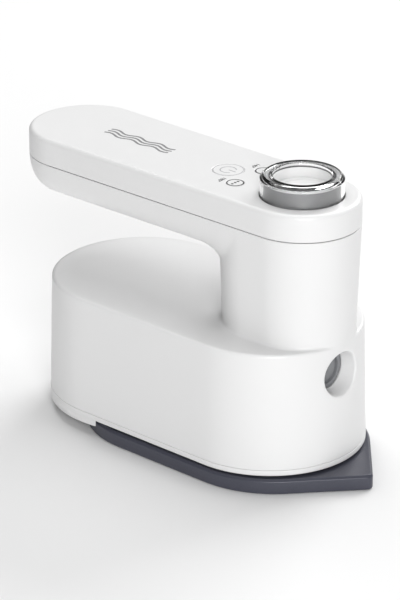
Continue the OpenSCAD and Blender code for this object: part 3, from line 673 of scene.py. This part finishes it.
grip_outline = meet_grip()
step = 0.01
grip_way = unit(np.stack([grip_inset(grip_outline + d) - grip_inset(grip_outline - d)
                          for d in np.eye(2) * step], -1))


def grip_ring(z, inset=0.0):
    """The grip's outline as the housing uses it, moved in along its own normals."""
    return np.column_stack([grip_outline - grip_way * inset, np.full(LOOP, z)])


def grip_loop(z, inset=0.0):
    return np.column_stack([stadium(grip_heel, grip_nose, inset), np.full(LOOP, z)])


wall_top = base_top - BASE_EDGE_R
block_z = mist_z + np.concatenate([np.linspace(-12.4, -10.95, 3), np.linspace(-10, 10, 2 * BLOCK + 1),
                                   [10.9, 11.8, wall_top - mist_z]])
low_z = np.linspace(seam_z + 0.5, block_z[0], 9)[:-1]
foot = [base_loop(seam_z + 0.03, 0.25), base_loop(seam_z + 0.1, 0.09),
        base_loop(seam_z + 0.22, 0.02)]
wall_rows = np.array(foot + [base_loop(z) for z in np.concatenate([low_z, block_z])])
block_from = len(foot) + len(low_z)
block_mid = block_from + BLEND

step_j, step_i = np.meshgrid(np.arange(-BLEND, BLEND + 1), np.arange(-BLEND, BLEND + 1),
                             indexing="ij")
measure = np.maximum(np.abs(step_i), np.abs(step_j)) / BLOCK
patch = wall_rows[block_mid - BLEND:block_mid + BLEND + 1][:, np.arange(-BLEND, BLEND + 1)]
reach = np.hypot(step_i, step_j) + 1e-9
round_y, round_z = rim_r * measure * step_i / reach, rim_r * measure * step_j / reach
ease = np.clip((measure - 1) / (BLEND / BLOCK - 1), 0, 1)
ease = ease * ease * (3 - 2 * ease)
new_y = round_y * (1 - ease) + patch[..., 1] * ease
new_z = mist_z + round_z * (1 - ease) + (patch[..., 2] - mist_z) * ease
new_x = base_length + np.sqrt(base_edge(new_z) ** 2 - new_y ** 2)
for j in range(-BLEND, BLEND + 1):
    wall_rows[block_mid + j, np.arange(-BLEND, BLEND + 1)] = np.stack(
        [new_x, new_y, new_z], -1)[j + BLEND]


def eased(t, spread):
    """Row places between 0 and 1: even where spread is 0, crowded to both ends where it is 1."""
    crowded = t ** 3 * (t * (6 * t - 15) + 10)
    return t[:, None] * (1 - spread) + crowded[:, None] * spread


def rows_between(a, b, count, spread, ends=False):
    """Loops from a to b, point by point."""
    t = np.linspace(0, 1, count + 1)[0 if ends else 1:]
    s = eased(t, spread)[..., None]
    return a * (1 - s) + b * s


shelf = np.linalg.norm(base_loop(base_top) - column_loop(base_top), axis=1)
flush = np.clip(1 - shelf / 3.0, 0, 1)
edge_loop, foot_loop = base_loop(base_top), column_loop(base_top)
edge_loop[:, 2] -= 0.6 * flush
foot_loop[:, 2] += 1.6 * flush


def underside(p):
    """Height of the grip's underside above a plan point: a quarter ellipse near the outline."""
    a = np.clip(grip_inset(p) / GRIP_ROUND + 1, 0, 1)
    return split_z - GRIP_DEPTH * np.sqrt(1 - a * a)


NECK_CAP = split_z - 7.9
LIP = 0.5
meet_z = np.full(LOOP, under_z)
for _ in range(4):
    meet_z = underside(column_loop(meet_z))
neck_loop, seam_loop = column_loop(meet_z), grip_ring(split_z - LIP)
neck_loop[:, 2] = np.minimum(meet_z, NECK_CAP)
t = np.linspace(0, 1, 37)[1:, None, None] ** 1.7
under_rows = neck_loop * (1 - t) ** 2 + seam_loop * (1 - (1 - t) ** 2)
rise = (underside(under_rows) - meet_z) / np.maximum(split_z - meet_z, 0.2)
under_rows[..., 2] = neck_loop[:, 2] + rise * (split_z - LIP - neck_loop[:, 2])
ledge = np.maximum(-grip_inset(neck_loop), 0)
gap = np.maximum(-(off_segment(column_loop(base_top), 0, base_length) - base_edge(base_top)), 0)
none = np.zeros(LOOP)
neck_fillet = 0.3 + GRIP_FILLET * (1 - np.exp(-np.maximum(ledge - 0.8, 0) / 6.0))
foot_fillet = 0.1 + FOOT_FILLET * (1 - np.exp(-gap / 1.5))


def f_housing(p):
    """Column melted with the grip above and with the base below, each column of the grid with
    its own fillet."""
    column = f_column(p)
    return np.where(p[..., 2] > base_top + 12, melt(column, f_grip(p), neck_fillet),
                    melt(column, f_base(p), foot_fillet))


body_rows = np.concatenate([
    wall_rows,
    rows_between(wall_rows[-1], edge_loop, 4, none),
    rows_between(edge_loop, foot_loop, 16, np.clip((shelf - 3) / 10, 0, 1)),
    rows_between(foot_loop, neck_loop, 26, none + 0.3),
    under_rows,
])
first_free = len(wall_rows) - 3
body_rows[first_free:] = settle(body_rows[first_free:], f_housing)
for _ in range(12):
    middle = body_rows[first_free + 1:-1]
    pull = (body_rows[first_free:-2] + body_rows[first_free + 2:]) / 2 - middle
    body_rows[first_free + 1:-1] = settle(middle + 0.3 * pull, f_housing, 3)
lip = np.stack([grip_ring(split_z - 0.28, 0.04), grip_ring(split_z - 0.17, 0.15),
                grip_ring(split_z - 0.12, 0.4)])
body_rows = np.concatenate([body_rows, lip])
print("housing rows:", len(body_rows))

# %% [markdown]
# The lip and the cone of the mist hole are more rows on the block's own edge. Each row is a circle
# round the hole's axis; the radius and the depth come from a rounded profile. They are stored as
# a second grid whose first row is the same points, and the doubled points are merged.

# %% Housing
def block_edge():
    """Grid places of the block's edge, once round, starting at one corner."""
    side = np.arange(-BLOCK, BLOCK)
    i = np.concatenate([side, np.full(2 * BLOCK, BLOCK), -side, np.full(2 * BLOCK, -BLOCK)])
    j = np.concatenate([np.full(2 * BLOCK, -BLOCK), side, np.full(2 * BLOCK, BLOCK), -side])
    return i, j


edge_i, edge_j = block_edge()
mist_edge = body_rows[block_mid + edge_j, edge_i]
around = np.arctan2(mist_edge[:, 2] - mist_z, mist_edge[:, 1])
bend = np.linspace(0, np.pi / 2, 6)[1:]
lip_radius = rim_r - MIST_LIP * np.sin(bend)
lip_depth = MIST_LIP * (1 - np.cos(bend))
cone_share = np.linspace(0, 1, 9)[1:]
mist_rows = [mist_edge]
for radius, depth in zip(lip_radius, lip_depth):
    mist_rows.append(np.stack([mist_edge[:, 0] - depth, radius * np.cos(around),
                               mist_z + radius * np.sin(around)], -1))
last = mist_rows[-1]
throat_x = nozzle_x + 0.02
for share in cone_share:
    radius = MIST_MOUTH_R + (nozzle_r + 0.08 - MIST_MOUTH_R) * share
    mist_rows.append(np.stack([last[:, 0] + (throat_x - last[:, 0]) * share,
                               radius * np.cos(around), mist_z + radius * np.sin(around)], -1))
mist_rows = np.array(mist_rows)

rows = len(body_rows)
points = body_rows.reshape(-1, 3)
faces = np.array(grid_faces(rows, LOOP))
row_of, column_of = faces[:, 0] // LOOP, faces[:, 0] % LOOP
from_front = (column_of + BLOCK) % LOOP
in_block = (row_of >= block_mid - BLOCK) & (row_of < block_mid + BLOCK) & (from_front < 2 * BLOCK)
faces = faces[~in_block].tolist()
mist_faces = grid_faces(len(mist_rows), len(around), start=len(points))
faces += mist_faces
housing = put_mesh("housing", np.concatenate([points, mist_rows.reshape(-1, 3)]), faces,
                   sharp=50, weld=0.004, closed=False)
add_wall(housing, 2.0)
place_piece(housing, "root", "white_plastic", "body_shell")
print("housing:", len(housing.data.vertices), "points")

# %% [markdown]
# The cover closes the grip from above. Its rounded edge is again a few loops; its top is flat, so
# there the loops end and one flat sheet of triangles is cut to the outline and to the holes. Each
# hole gets a small rounded lip. A thin flat strip lies between every lip and the sheet, so the
# light on the flat top stays even.

# %% Handle cover
COVER_EDGE_R = 2.0
STRIP = 0.25
LIP_R = 0.35
NET = 1.6
NET_X, NET_Y = (grip_heel[0] - grip_heel[1], grip_nose[0] + grip_nose[1]), (-30.0, 30.0)
key_low, key_high = corners("power_key")
high_low, high_high = corners("high_window")
key_x = (key_low[0] + key_high[0]) / 2
key_r = (key_high[1] - key_low[1]) / 2 - 0.9
window_x = (high_low[0] + high_high[0]) / 2
window_y = abs(high_low[1] + high_high[1]) / 2
window_r = (high_high[1] - high_low[1]) / 2
button_r = (cap_high[1] - cap_low[1]) / 2
HOLES = [(button_x, 0.0, button_r + 0.25, 96), (key_x, 0.0, key_r + 0.08, 64),
         (window_x, -window_y, window_r + 0.06, 48), (window_x, window_y, window_r + 0.06, 48)]

turn = np.linspace(0, np.pi / 2, 9)
cover_rows = [grip_loop(split_z + 0.10, 0.4), grip_loop(split_z + 0.12, 0.15),
              grip_loop(split_z + 0.2, 0.04), grip_loop(split_z + 0.4)]
cover_rows += [grip_loop(z) for z in np.linspace(split_z + 0.8, top_z - COVER_EDGE_R, 6)]
cover_rows += [grip_loop(top_z - COVER_EDGE_R * (1 - math.sin(a)), COVER_EDGE_R * (1 - math.cos(a)))
               for a in turn[1:]]
cover_rows.append(grip_loop(top_z, COVER_EDGE_R + STRIP))
cover_rows = np.array(cover_rows)


def hole_rows(x, y, r, turns):
    """Circles of a hole, from the flat strip over the lip and down its wall."""
    a = np.linspace(0, 2 * np.pi, turns, endpoint=False)
    s = np.linspace(0, np.pi / 2, 5)
    radius = np.concatenate([[r + LIP_R + STRIP], r + LIP_R * (1 - np.sin(s)), [r, r]])
    height = np.concatenate([[top_z], top_z - LIP_R * (1 - np.cos(s)), [top_z - 0.9, top_z - 1.6]])
    return np.stack([x + radius[:, None] * np.cos(a), y + radius[:, None] * np.sin(a),
                     height[:, None] + 0 * a], -1)


def flat_sheet(outline, holes, z):
    """Triangles of a flat sheet between a loop and some circles, none outside or in a hole."""
    loops = [outline[:, :2]] + [h[0][:, :2] for h in holes]
    net = np.stack(np.meshgrid(np.arange(*NET_X, NET), np.arange(*NET_Y, NET)), -1).reshape(-1, 2)
    free = grip_inset(net) < -COVER_EDGE_R - STRIP - NET / 2
    for x, y, r, _ in HOLES:
        free &= np.hypot(net[:, 0] - x, net[:, 1] - y) > r + LIP_R + STRIP + NET / 2
    flat = np.concatenate(loops + [net[free]])
    edges, start = [], 0
    for loop in loops:
        n = np.arange(len(loop))
        edges += np.stack([start + n, start + (n + 1) % len(loop)], -1).tolist()
        start += len(loop)
    verts, _, faces, *_ = delaunay_2d_cdt([Vector(v) for v in flat], edges, [], 0, 1e-6)
    verts = np.array([[v.x, v.y] for v in verts])
    faces = np.array(faces)
    middle = verts[faces].mean(1)
    share = np.clip((grip_nose[0] - middle[:, 0]) / (grip_nose[0] - grip_heel[0]), 0, 1)
    centre = grip_nose[0] + (grip_heel[0] - grip_nose[0]) * share
    radius = grip_nose[1] + (grip_heel[1] - grip_nose[1]) * share - COVER_EDGE_R - STRIP
    keep = np.hypot(middle[:, 0] - centre, middle[:, 1]) < radius + 0.02
    for x, y, r, _ in HOLES:
        keep &= np.hypot(middle[:, 0] - x, middle[:, 1] - y) > r + LIP_R + STRIP
    faces = faces[keep]
    a, b, c = (verts[faces[:, k]] for k in range(3))
    turned = (b[:, 0] - a[:, 0]) * (c[:, 1] - a[:, 1]) - (b[:, 1] - a[:, 1]) * (c[:, 0] - a[:, 0])
    faces[turned < 0] = faces[turned < 0][:, ::-1]
    faces = faces[np.abs(turned) > 1e-4]
    return np.column_stack([verts, np.full(len(verts), z)]), faces


holes = [hole_rows(*hole) for hole in HOLES]
points, faces = cover_rows.reshape(-1, 3), grid_faces(len(cover_rows), LOOP)
for rows_of_hole in holes:
    count, turns = rows_of_hole.shape[:2]
    faces += grid_faces(count, turns, start=len(points))
    points = np.concatenate([points, rows_of_hole.reshape(-1, 3)])
sheet_points, sheet_faces = flat_sheet(cover_rows[-1], holes, top_z)
faces += (sheet_faces + len(points)).tolist()
points = np.concatenate([points, sheet_points])
cover = put_mesh("cover", points, faces, sharp=50, weld=0.004, closed=False)
add_wall(cover, 1.5)
place_piece(cover, "root", "white_plastic", "handle_cover")
print("cover:", len(cover.data.vertices), "points")

# %% [markdown]
# The skirt is the narrow ring that closes the housing below. The soleplate hangs under it on mica
# washers, so a dark gap shows all round. At the heel, where the soleplate is shorter than the
# base, the skirt has a thicker pad that fills the corner.

# %% Skirt
SKIRT_DEPTH = 14
SEAM_GAP = 0.02
section = rounded([(SKIRT_DEPTH, skirt_z, 0), (0, skirt_z, 0.5), (0, seam_z - SEAM_GAP, 0.2),
                   (SKIRT_DEPTH, seam_z - SEAM_GAP, 0)], steps=4, closed=False)
half_turn = np.pi / 2
angle, share = loop_steps(half_turn)
skirt_grid = carry(section, base_length * (1 - share), 0 * share, base_r + 0 * share, angle)
skirt_grid = np.concatenate([skirt_grid, skirt_grid[:1]])
skirt = put_mesh("skirt", skirt_grid.reshape(-1, 3), grid_faces(len(skirt_grid), LOOP),
                 sharp=50, weld=0.003)
place_piece(skirt, "root", "white_plastic", "base_skirt")

PAD_STEPS = 60
PAD_REACH = 0.985
PAD_OVERLAP = 0.3
pad_floor = skirt_low[2]
pad_top = skirt_z + PAD_OVERLAP
pad_gap = sole_r + 1.0
fore = np.linspace(0, 1, PAD_STEPS + 1)
reach_y = base_r * PAD_REACH
y = reach_y * np.sin((2 * fore - 1) * half_turn)
outer_x = -np.sqrt(np.maximum(base_r ** 2 - y ** 2, 0))
inner_x = sole_heel_x - np.sqrt(np.maximum(pad_gap ** 2 - y ** 2, 0))
inner_x = np.maximum(inner_x, outer_x + 0.3)
crescent = rounded([(0, pad_floor, 0.5), (1, pad_floor, 0.5), (1, pad_top, 0.05),
                    (0, pad_top, 0.05)], steps=4)
width = (inner_x - outer_x)[None, :]
part = np.clip(crescent[:, 0, None], 0, 1)
pad_grid = np.stack([outer_x + width * part, y + 0 * part, crescent[:, 1, None] + 0 * width], -1)
pad_rows, pad_columns = pad_grid.shape[:2]
pad_faces = grid_faces(pad_rows, pad_columns, wrap_columns=False, wrap_rows=True)
pad_faces += [list(range(0, pad_rows * pad_columns, pad_columns)),
              list(range(pad_columns - 1, pad_rows * pad_columns, pad_columns))[::-1]]
heel_pad = put_mesh("heel_pad", pad_grid.reshape(-1, 3), pad_faces, sharp=50, weld=0.002)
place_piece(heel_pad, "root", "white_plastic")
print("skirt and heel pad made")

# %% [markdown]
# The spray button is a clear turned cap over a white core. A grey sleeve round the core shows
# through the cap's wall, a thin black gasket sits under its rim, and a white stepped dish with a
# thin liner fills the hollow for the thumb. All are turned parts: a profile carried round the
# axis. The spring is drawn as two coils, one inside the other. The outer stays with the pump, the
# inner goes down with the button, and each is short enough to clear the far end at full travel.

# %% Spray button
core_low, core_high = corners("button_core")
dish_low, dish_high = corners("button_dish")
CAP_WALL = 1.6
CAP_RIM_H = 1.9
CAP_SHOULDER = 1.5
HOLLOW_WALL = 1.0
DISH_GAP = 0.15
hollow_r = (dish_high[1] - dish_low[1]) / 2 + DISH_GAP
cap_floor, cap_top = cap_low[2], cap_high[2]
cap_inner_r = button_r - CAP_WALL
hollow_floor = dish_low[2]
cap_profile = rounded([
    (cap_inner_r, cap_floor, 0.2), (button_r, cap_floor, 0.2), (button_r, cap_top - 1.6, 0.5),
    (button_r - CAP_SHOULDER, cap_top, 1.0), (hollow_r, cap_top, 0.6),
    (hollow_r, hollow_floor, 0.1), (hollow_r + HOLLOW_WALL, hollow_floor, 0.1),
    (hollow_r + HOLLOW_WALL, cap_top - CAP_RIM_H, 0.3), (cap_inner_r, cap_top - CAP_RIM_H, 0.3)],
    steps=6)
clear_cap = lathe("clear_cap", (button_x, 0, 0), cap_profile, turns=128, sharp=60)
place_piece(clear_cap, "button", "clear_plastic", "button_cap")

HUB_BORE_R = 2.65
HUB_R = 4.5
WEB_H = 2.0
SLEEVE = 0.45
SLEEVE_DROP = 0.6
core_r = (core_high[1] - core_low[1]) / 2
core_inner_r = hollow_r + 1.3
core_floor, core_top = core_low[2], core_high[2]
skirt_floor = core_floor + 1
neck_r, neck_z = core_r - SLEEVE, core_top - SLEEVE_DROP
web_top = hollow_floor - 0.05
web_floor = web_top - WEB_H
core_profile = rounded([
    (HUB_BORE_R, core_floor, 0.1), (HUB_R, core_floor, 0.3), (HUB_R, web_floor, 0.3),
    (core_inner_r, web_floor, 0.3), (core_inner_r, skirt_floor, 0.2), (neck_r, skirt_floor, 0.2),
    (neck_r, neck_z, 0.05), (core_r, neck_z, 0.05), (core_r, core_top, 0.25),
    (core_inner_r, core_top, 0.3), (core_inner_r, web_top, 0.2), (HUB_BORE_R, web_top, 0.1)],
    steps=4)
core = lathe("button_core_ring", (button_x, 0, 0), core_profile, turns=96)
place_piece(core, "button", "dish_plastic", "button_core")
sleeve_inner_r, sleeve_top = neck_r + 0.01, neck_z - 0.02
sleeve_profile = rounded([
    (sleeve_inner_r, skirt_floor, 0.1), (core_r, skirt_floor, 0.15),
    (core_r, sleeve_top, 0.1), (sleeve_inner_r, sleeve_top, 0.05)], steps=4)
sleeve = lathe("button_sleeve", (button_x, 0, 0), sleeve_profile, turns=96)
place_piece(sleeve, "button", "grey_plastic")
gasket_in, gasket_out = hollow_r + 1.05, hollow_r + 1.5
gasket_floor, gasket_top = core_top + 0.02, cap_top - CAP_RIM_H - 0.05
gasket_profile = rounded([
    (gasket_in, gasket_floor, 0.1), (gasket_out, gasket_floor, 0.1),
    (gasket_out, gasket_top, 0.1), (gasket_in, gasket_top, 0.1)], steps=4)
gasket = lathe("button_gasket", (button_x, 0, 0), gasket_profile, turns=96)
place_piece(gasket, "button", "black_plastic")

BUTTON_TRAVEL = 5.0
COIL_TURNS = 4
COIL_SIDES = 12
TURN_STEPS = 48


def coil(name, centre, r, wire_r, low, high, turns):
    """A round wire on a helix: x = r cos a, y = r sin a, and the height grows evenly with a."""
    a = np.linspace(0, 2 * np.pi * turns, TURN_STEPS * turns + 1)[:, None]
    b = np.linspace(0, 2 * np.pi, COIL_SIDES, endpoint=False)
    height = low + wire_r + (high - low - 2 * wire_r) * a / a[-1]
    out = r + wire_r * np.cos(b)
    points = np.stack([centre[0] + out * np.cos(a), centre[1] + out * np.sin(a),
                       height + wire_r * np.sin(b)], -1).reshape(-1, 3)
    ends = [list(range(COIL_SIDES)), list(range(len(points) - COIL_SIDES, len(points)))[::-1]]
    return put_mesh(name, points, grid_faces(len(a), COIL_SIDES) + ends, sharp=50)


spring_low, spring_high = corners("pump_spring")
WIRE_R = 0.45
spring_r = (spring_high[1] - spring_low[1]) / 2 - WIRE_R
coil_floor, coil_top = spring_low[2], spring_high[2] - 0.05
half_coil = spring_high[2] - spring_low[2] - BUTTON_TRAVEL - 0.4
outer_coil = coil("spring_lower_coil", (button_x, 0), spring_r, WIRE_R,
                  coil_floor, coil_floor + half_coil, COIL_TURNS)
place_piece(outer_coil, "pump_unit", "steel", "pump_spring")
inner_coil = coil("spring_upper_coil", (button_x, 0), spring_r - 2.6 * WIRE_R, WIRE_R,
                  coil_top - half_coil, coil_top, COIL_TURNS)
place_piece(inner_coil, "button", "steel")
print("spring: two coils of", round(half_coil, 2), "mm")

LINER = 0.35
BOWL_STEPS = 8
dish_r = hollow_r - DISH_GAP
dish_top = dish_high[2]
liner_top = cap_top - 1.7
ledge_r, ledge_z = hollow_r - 2.1, dish_top - 0.9
bowl_r = hollow_r - 3.6
bowl_floor = hollow_floor + 0.55
bowl = np.linspace(bowl_r, 0, BOWL_STEPS)
dish_profile = np.concatenate([
    rounded([(0, hollow_floor, 0), (dish_r, hollow_floor, 0.15), (dish_r, liner_top, 0.15),
             (dish_r - LINER, liner_top, 0.15), (dish_r - LINER, dish_top, 0.15),
             (hollow_r - 1.6, dish_top, 0.3), (ledge_r, ledge_z, 0.3), (bowl_r, ledge_z, 0.3)],
            steps=4, closed=False),
    np.column_stack([bowl, bowl_floor + (ledge_z - bowl_floor) * (bowl / bowl_r) ** 2])])
dish = lathe("thumb_dish", (button_x, 0, 0), dish_profile, turns=96)
place_piece(dish, "button", "dish_plastic", "button_dish")
print("button: clear cap, core, sleeve, gasket and dish")

# %% [markdown]
# The controls are a flush power key, whose flange and stem are under the cover, and two indicator
# windows. Their signs are pad printed, so they are very thin raised shapes: rings, bars, dots and
# small figures. The pale ring near the edge of the power key is not print: it is the painted shadow
# of the gap round the key. A printed line is a flat section carried along a path in the plane of the
# cover.

# %% Printed signs
PRINT_H = 0.03
PRINT_SUNK = 0.02


def ink_line(name, path, half_width, z, wrap=False):
    """A flat ribbon: at each point of a plan path its left and right edge, below and above."""
    path = np.asarray(path, float)
    ahead = np.roll(path, -1, 0) - np.roll(path, 1, 0)
    if not wrap:
        ahead[0], ahead[-1] = path[1] - path[0], path[-1] - path[-2]
    ahead /= np.linalg.norm(ahead, axis=1, keepdims=True)
    side = np.stack([-ahead[:, 1], ahead[:, 0]], -1) * half_width
    low, high = z - PRINT_SUNK, z + PRINT_H
    ring = [(side, low), (side, high), (-side, high), (-side, low)]
    grid = np.array([np.column_stack([path + s, np.full(len(path), h)]) for s, h in ring])
    count = len(path)
    faces = grid_faces(4, count, wrap_columns=wrap, wrap_rows=True)
    if not wrap:
        faces += [[0, count, 2 * count, 3 * count],
                  [count - 1, 4 * count - 1, 3 * count - 1, 2 * count - 1]]
    return put_mesh(name, grid.reshape(-1, 3), faces, weld=0.0005)


def circle(x, y, r, start=0.0, stop=2 * np.pi, count=72):
    """Plan points (x + r cos a, y + r sin a); a full circle doesn't repeat its first point."""
    a = np.linspace(start, stop, count, endpoint=abs(stop - start) < 6.28)
    return np.column_stack([x + r * np.cos(a), y + r * np.sin(a)])


def key_disc(name, x, y, r, foot_z, z):
    """A flush round insert with a softly rounded edge, solid down to its foot."""
    profile = rounded([(0, foot_z, 0), (r, foot_z, 0.05), (r, z, 0.25), (r - 0.5, z, 0.01),
                       (0, z, 0)], steps=4, closed=False)
    return lathe(name, (x, y, 0), profile, turns=64)


def joined(name, pieces):
    """Several small printed shapes as one piece."""
    points, faces = [], []
    for piece in pieces:
        co = np.empty(len(piece.data.vertices) * 3)
        piece.data.vertices.foreach_get("co", co)
        start = sum(len(p) for p in points)
        faces += [[v + start for v in face.vertices] for face in piece.data.polygons]
        points.append(co.reshape(-1, 3) / MM)
        bpy.data.objects.remove(piece)
    return put_mesh(name, np.concatenate(points), faces)


KEY_STEM_R = 1.9
KEY_FLANGE = 0.9
KEY_FLANGE_H = 0.7
flange_z = top_z - 3.0
key_profile = rounded([
    (0, key_low[2], 0), (KEY_STEM_R, key_low[2], 0.3), (KEY_STEM_R, flange_z, 0.3),
    (key_r + KEY_FLANGE, flange_z, 0.2), (key_r + KEY_FLANGE, flange_z + KEY_FLANGE_H, 0.2),
    (key_r, flange_z + KEY_FLANGE_H, 0.1), (key_r, top_z, 0.25), (key_r - 0.5, top_z, 0.01),
    (0, top_z, 0)], steps=4, closed=False)
face = lathe("power_key_cap", (key_x, 0, 0), key_profile, turns=64)
place_piece(face, "key", "white_plastic", "power_key")

POWER_ARC_R = 3.3
POWER_GAP = math.radians(38)
POWER_LINE = 0.26
power_arc = circle(key_x, 0, POWER_ARC_R, POWER_GAP, 2 * np.pi - POWER_GAP)
power_sign_and_gap_shadow = joined("power_sign_and_gap_shadow", [
    # the ring is not print: it is the painted shadow of the gap round the power key, in pale ink
    ink_line("ring", circle(key_x, 0, key_r - 0.3), 0.16, top_z, wrap=True),
    ink_line("arc", power_arc, POWER_LINE, top_z),
    ink_line("bar", [(key_x + reach, 0) for reach in (0.3, 2.0, 4.0)], POWER_LINE, top_z)])
place_piece(power_sign_and_gap_shadow, "key", "grey_plastic", finish=FINISH["pale_print"])

LENS_H = 1.6
DOT_R, DOT_LINE, DOT_PITCH = 0.3, 0.27, 1.75
RIM_LINE = 0.26
for name, side, node, dots in (("high", -1, "high_window", 3), ("low", 1, "low_window", 1)):
    window = (window_x, side * window_y)
    disc = key_disc(f"{name}_window_lens", *window, window_r, top_z - LENS_H, top_z)
    place_piece(disc, "root", "white_plastic", node)
    steps = (np.arange(dots) - (dots - 1) / 2) * DOT_PITCH
    spots = [ink_line("dot", circle(window[0], window[1] + step, DOT_R, count=20), DOT_LINE,
                      top_z, wrap=True) for step in steps]
    rim = ink_line("rim", circle(*window, window_r - 0.3), RIM_LINE, top_z, wrap=True)
    sign = joined(f"{name}_heat_sign", spots + [rim])
    place_piece(sign, "root", "black_plastic")


FIGURE_BOLD = 0.03


def figures(name, text, x, y, height=2.6):
    """Small raised figures from the built-in typeface, read from the -y side's left to right
    along -y, turned flat into a mesh before they are put in place."""
    curve = bpy.data.curves.new(name, "FONT")
    curve.body = text
    curve.size = height
    curve.offset = FIGURE_BOLD
    curve.extrude = PRINT_H / 2
    curve.align_x = "CENTER"
    curve.align_y = "CENTER"
    drawn = bpy.data.objects.new(name + "_drawn", curve)
    bpy.context.scene.collection.objects.link(drawn)
    mesh = bpy.data.meshes.new_from_object(
        drawn.evaluated_get(bpy.context.evaluated_depsgraph_get()))
    bpy.data.objects.remove(drawn)
    co = np.empty(len(mesh.vertices) * 3)
    mesh.vertices.foreach_get("co", co)
    co = co.reshape(-1, 3)
    placed = np.stack([x + co[:, 1], y - co[:, 0], top_z + PRINT_H / 2 + co[:, 2]], -1)
    faces = [list(face.vertices) for face in mesh.polygons]
    piece = put_mesh(name, placed, faces, sharp=20, weld=0.0001)
    return place_piece(piece, "root", "black_plastic")


figures_x = window_x - 6.3
figures("high_heat_figures", "180\u00b0", figures_x, -10.0)
figures("low_heat_figures", "140\u00b0", figures_x, 10.6)

WAVE_FROM, WAVE_LENGTH = -20.0, 36.0
WAVE_HEIGHT, WAVE_PITCH, WAVE_LINE = 0.85, 2.2, 0.5
WAVE_CRESTS = 3
wave_t = np.linspace(0, 1, 60)
wave_x = WAVE_FROM + WAVE_LENGTH * wave_t
wave_y = WAVE_HEIGHT * np.sin(wave_t * 2 * np.pi * WAVE_CRESTS)
waves = [ink_line("wave", np.column_stack([wave_x, wave_y + step * WAVE_PITCH]), WAVE_LINE, top_z)
         for step in (-1, 0, 1)]
steam_sign = joined("steam_sign", waves)
place_piece(steam_sign, "root", "grey_plastic", finish=FINISH["print"])
print("signs printed")

# %% [markdown]
# The power inlet sits in a shallow seat at the heel end of the grip: a black nylon socket with a
# flange and a bore.

# %% Power inlet
jack_low, jack_high = corners("dc_jack")
jack_z = (jack_low[2] + jack_high[2]) / 2
flange_r = (jack_high[1] - jack_low[1]) / 2
face_x = jack_low[0]
JACK_R, JACK_BORE_R, JACK_BORE_L = 4.0, 2.75, 10
JACK_CORE_R = 0.6
jack_profile = rounded([
    (JACK_BORE_R, face_x, 0.35), (JACK_BORE_R, face_x + JACK_BORE_L, 0.1),
    (JACK_CORE_R, face_x + JACK_BORE_L, 0.1), (JACK_CORE_R, jack_high[0], 0.1),
    (JACK_R, jack_high[0], 0.4), (JACK_R, face_x + 1, 0.15),
    (flange_r, face_x + 1, 0.2), (flange_r, face_x, 0.35)], steps=4)
inlet = lathe("power_inlet_socket", (0, 0, jack_z), jack_profile, axis="x", turns=64)
place_piece(inlet, "root", "black_plastic", "dc_jack")
print("inlet made")

# %% [markdown]
# A plain pale floor, a dim white surrounding and three large soft lamps: a tall one to the front
# right that makes the nose bright, one above, and one behind that reaches the base's top under
# the grip.

# %% Floor and light
def lamp(name, place, aim, size, power):
    """A rectangular soft lamp at a place, turned to its aim; size in metres, power in watts."""
    data = bpy.data.lights.new(name, "AREA")
    data.shape = "RECTANGLE"
    data.size, data.size_y = size
    data.energy = power
    made = bpy.data.objects.new(name, data)
    made.location = place
    made.rotation_euler = (Vector(aim) - Vector(place)).to_track_quat("-Z", "Y").to_euler()
    bpy.context.scene.collection.objects.link(made)
    return made


FLOOR = 6.0
floor_mesh = bpy.data.meshes.new("floor")
floor_mesh.from_pydata([(-FLOOR, -FLOOR, 0), (FLOOR, -FLOOR, 0), (FLOOR, FLOOR, 0),
                        (-FLOOR, FLOOR, 0)], [], [(0, 1, 2, 3)])
floor = bpy.data.objects.new("floor", floor_mesh)
bpy.context.scene.collection.objects.link(floor)
floor_finish, floor_shader, floor_place = start_finish("pale paper")
paper = noise(floor_place, 3.0).mix((0.79, 0.79, 0.79, 1), (0.81, 0.81, 0.81, 1))
feed(floor_shader, "Base Color", paper)
feed(floor_shader, "Roughness", 0.9)
floor_mesh.materials.append(floor_finish)

CENTRE = (0.04, 0.0, 0.06)
lamp("key lamp", (1.30, -1.15, 0.62), CENTRE, (0.55, 1.2), 24.0)
lamp("top lamp", (-0.25, 0.3, 1.6), CENTRE, (1.4, 1.4), 19.8)
lamp("back lamp", (-0.1, 1.4, 1.0), CENTRE, (1.0, 0.8), 16.0)

world = bpy.data.worlds.new("studio")
bpy.context.scene.world = world
world.use_nodes = True
background = world.node_tree.nodes["Background"]
background.inputs["Color"].default_value = (1, 1, 1, 1)
background.inputs["Strength"].default_value = 0.14
bpy.context.scene.view_settings.view_transform = "Standard"
print("studio lit")
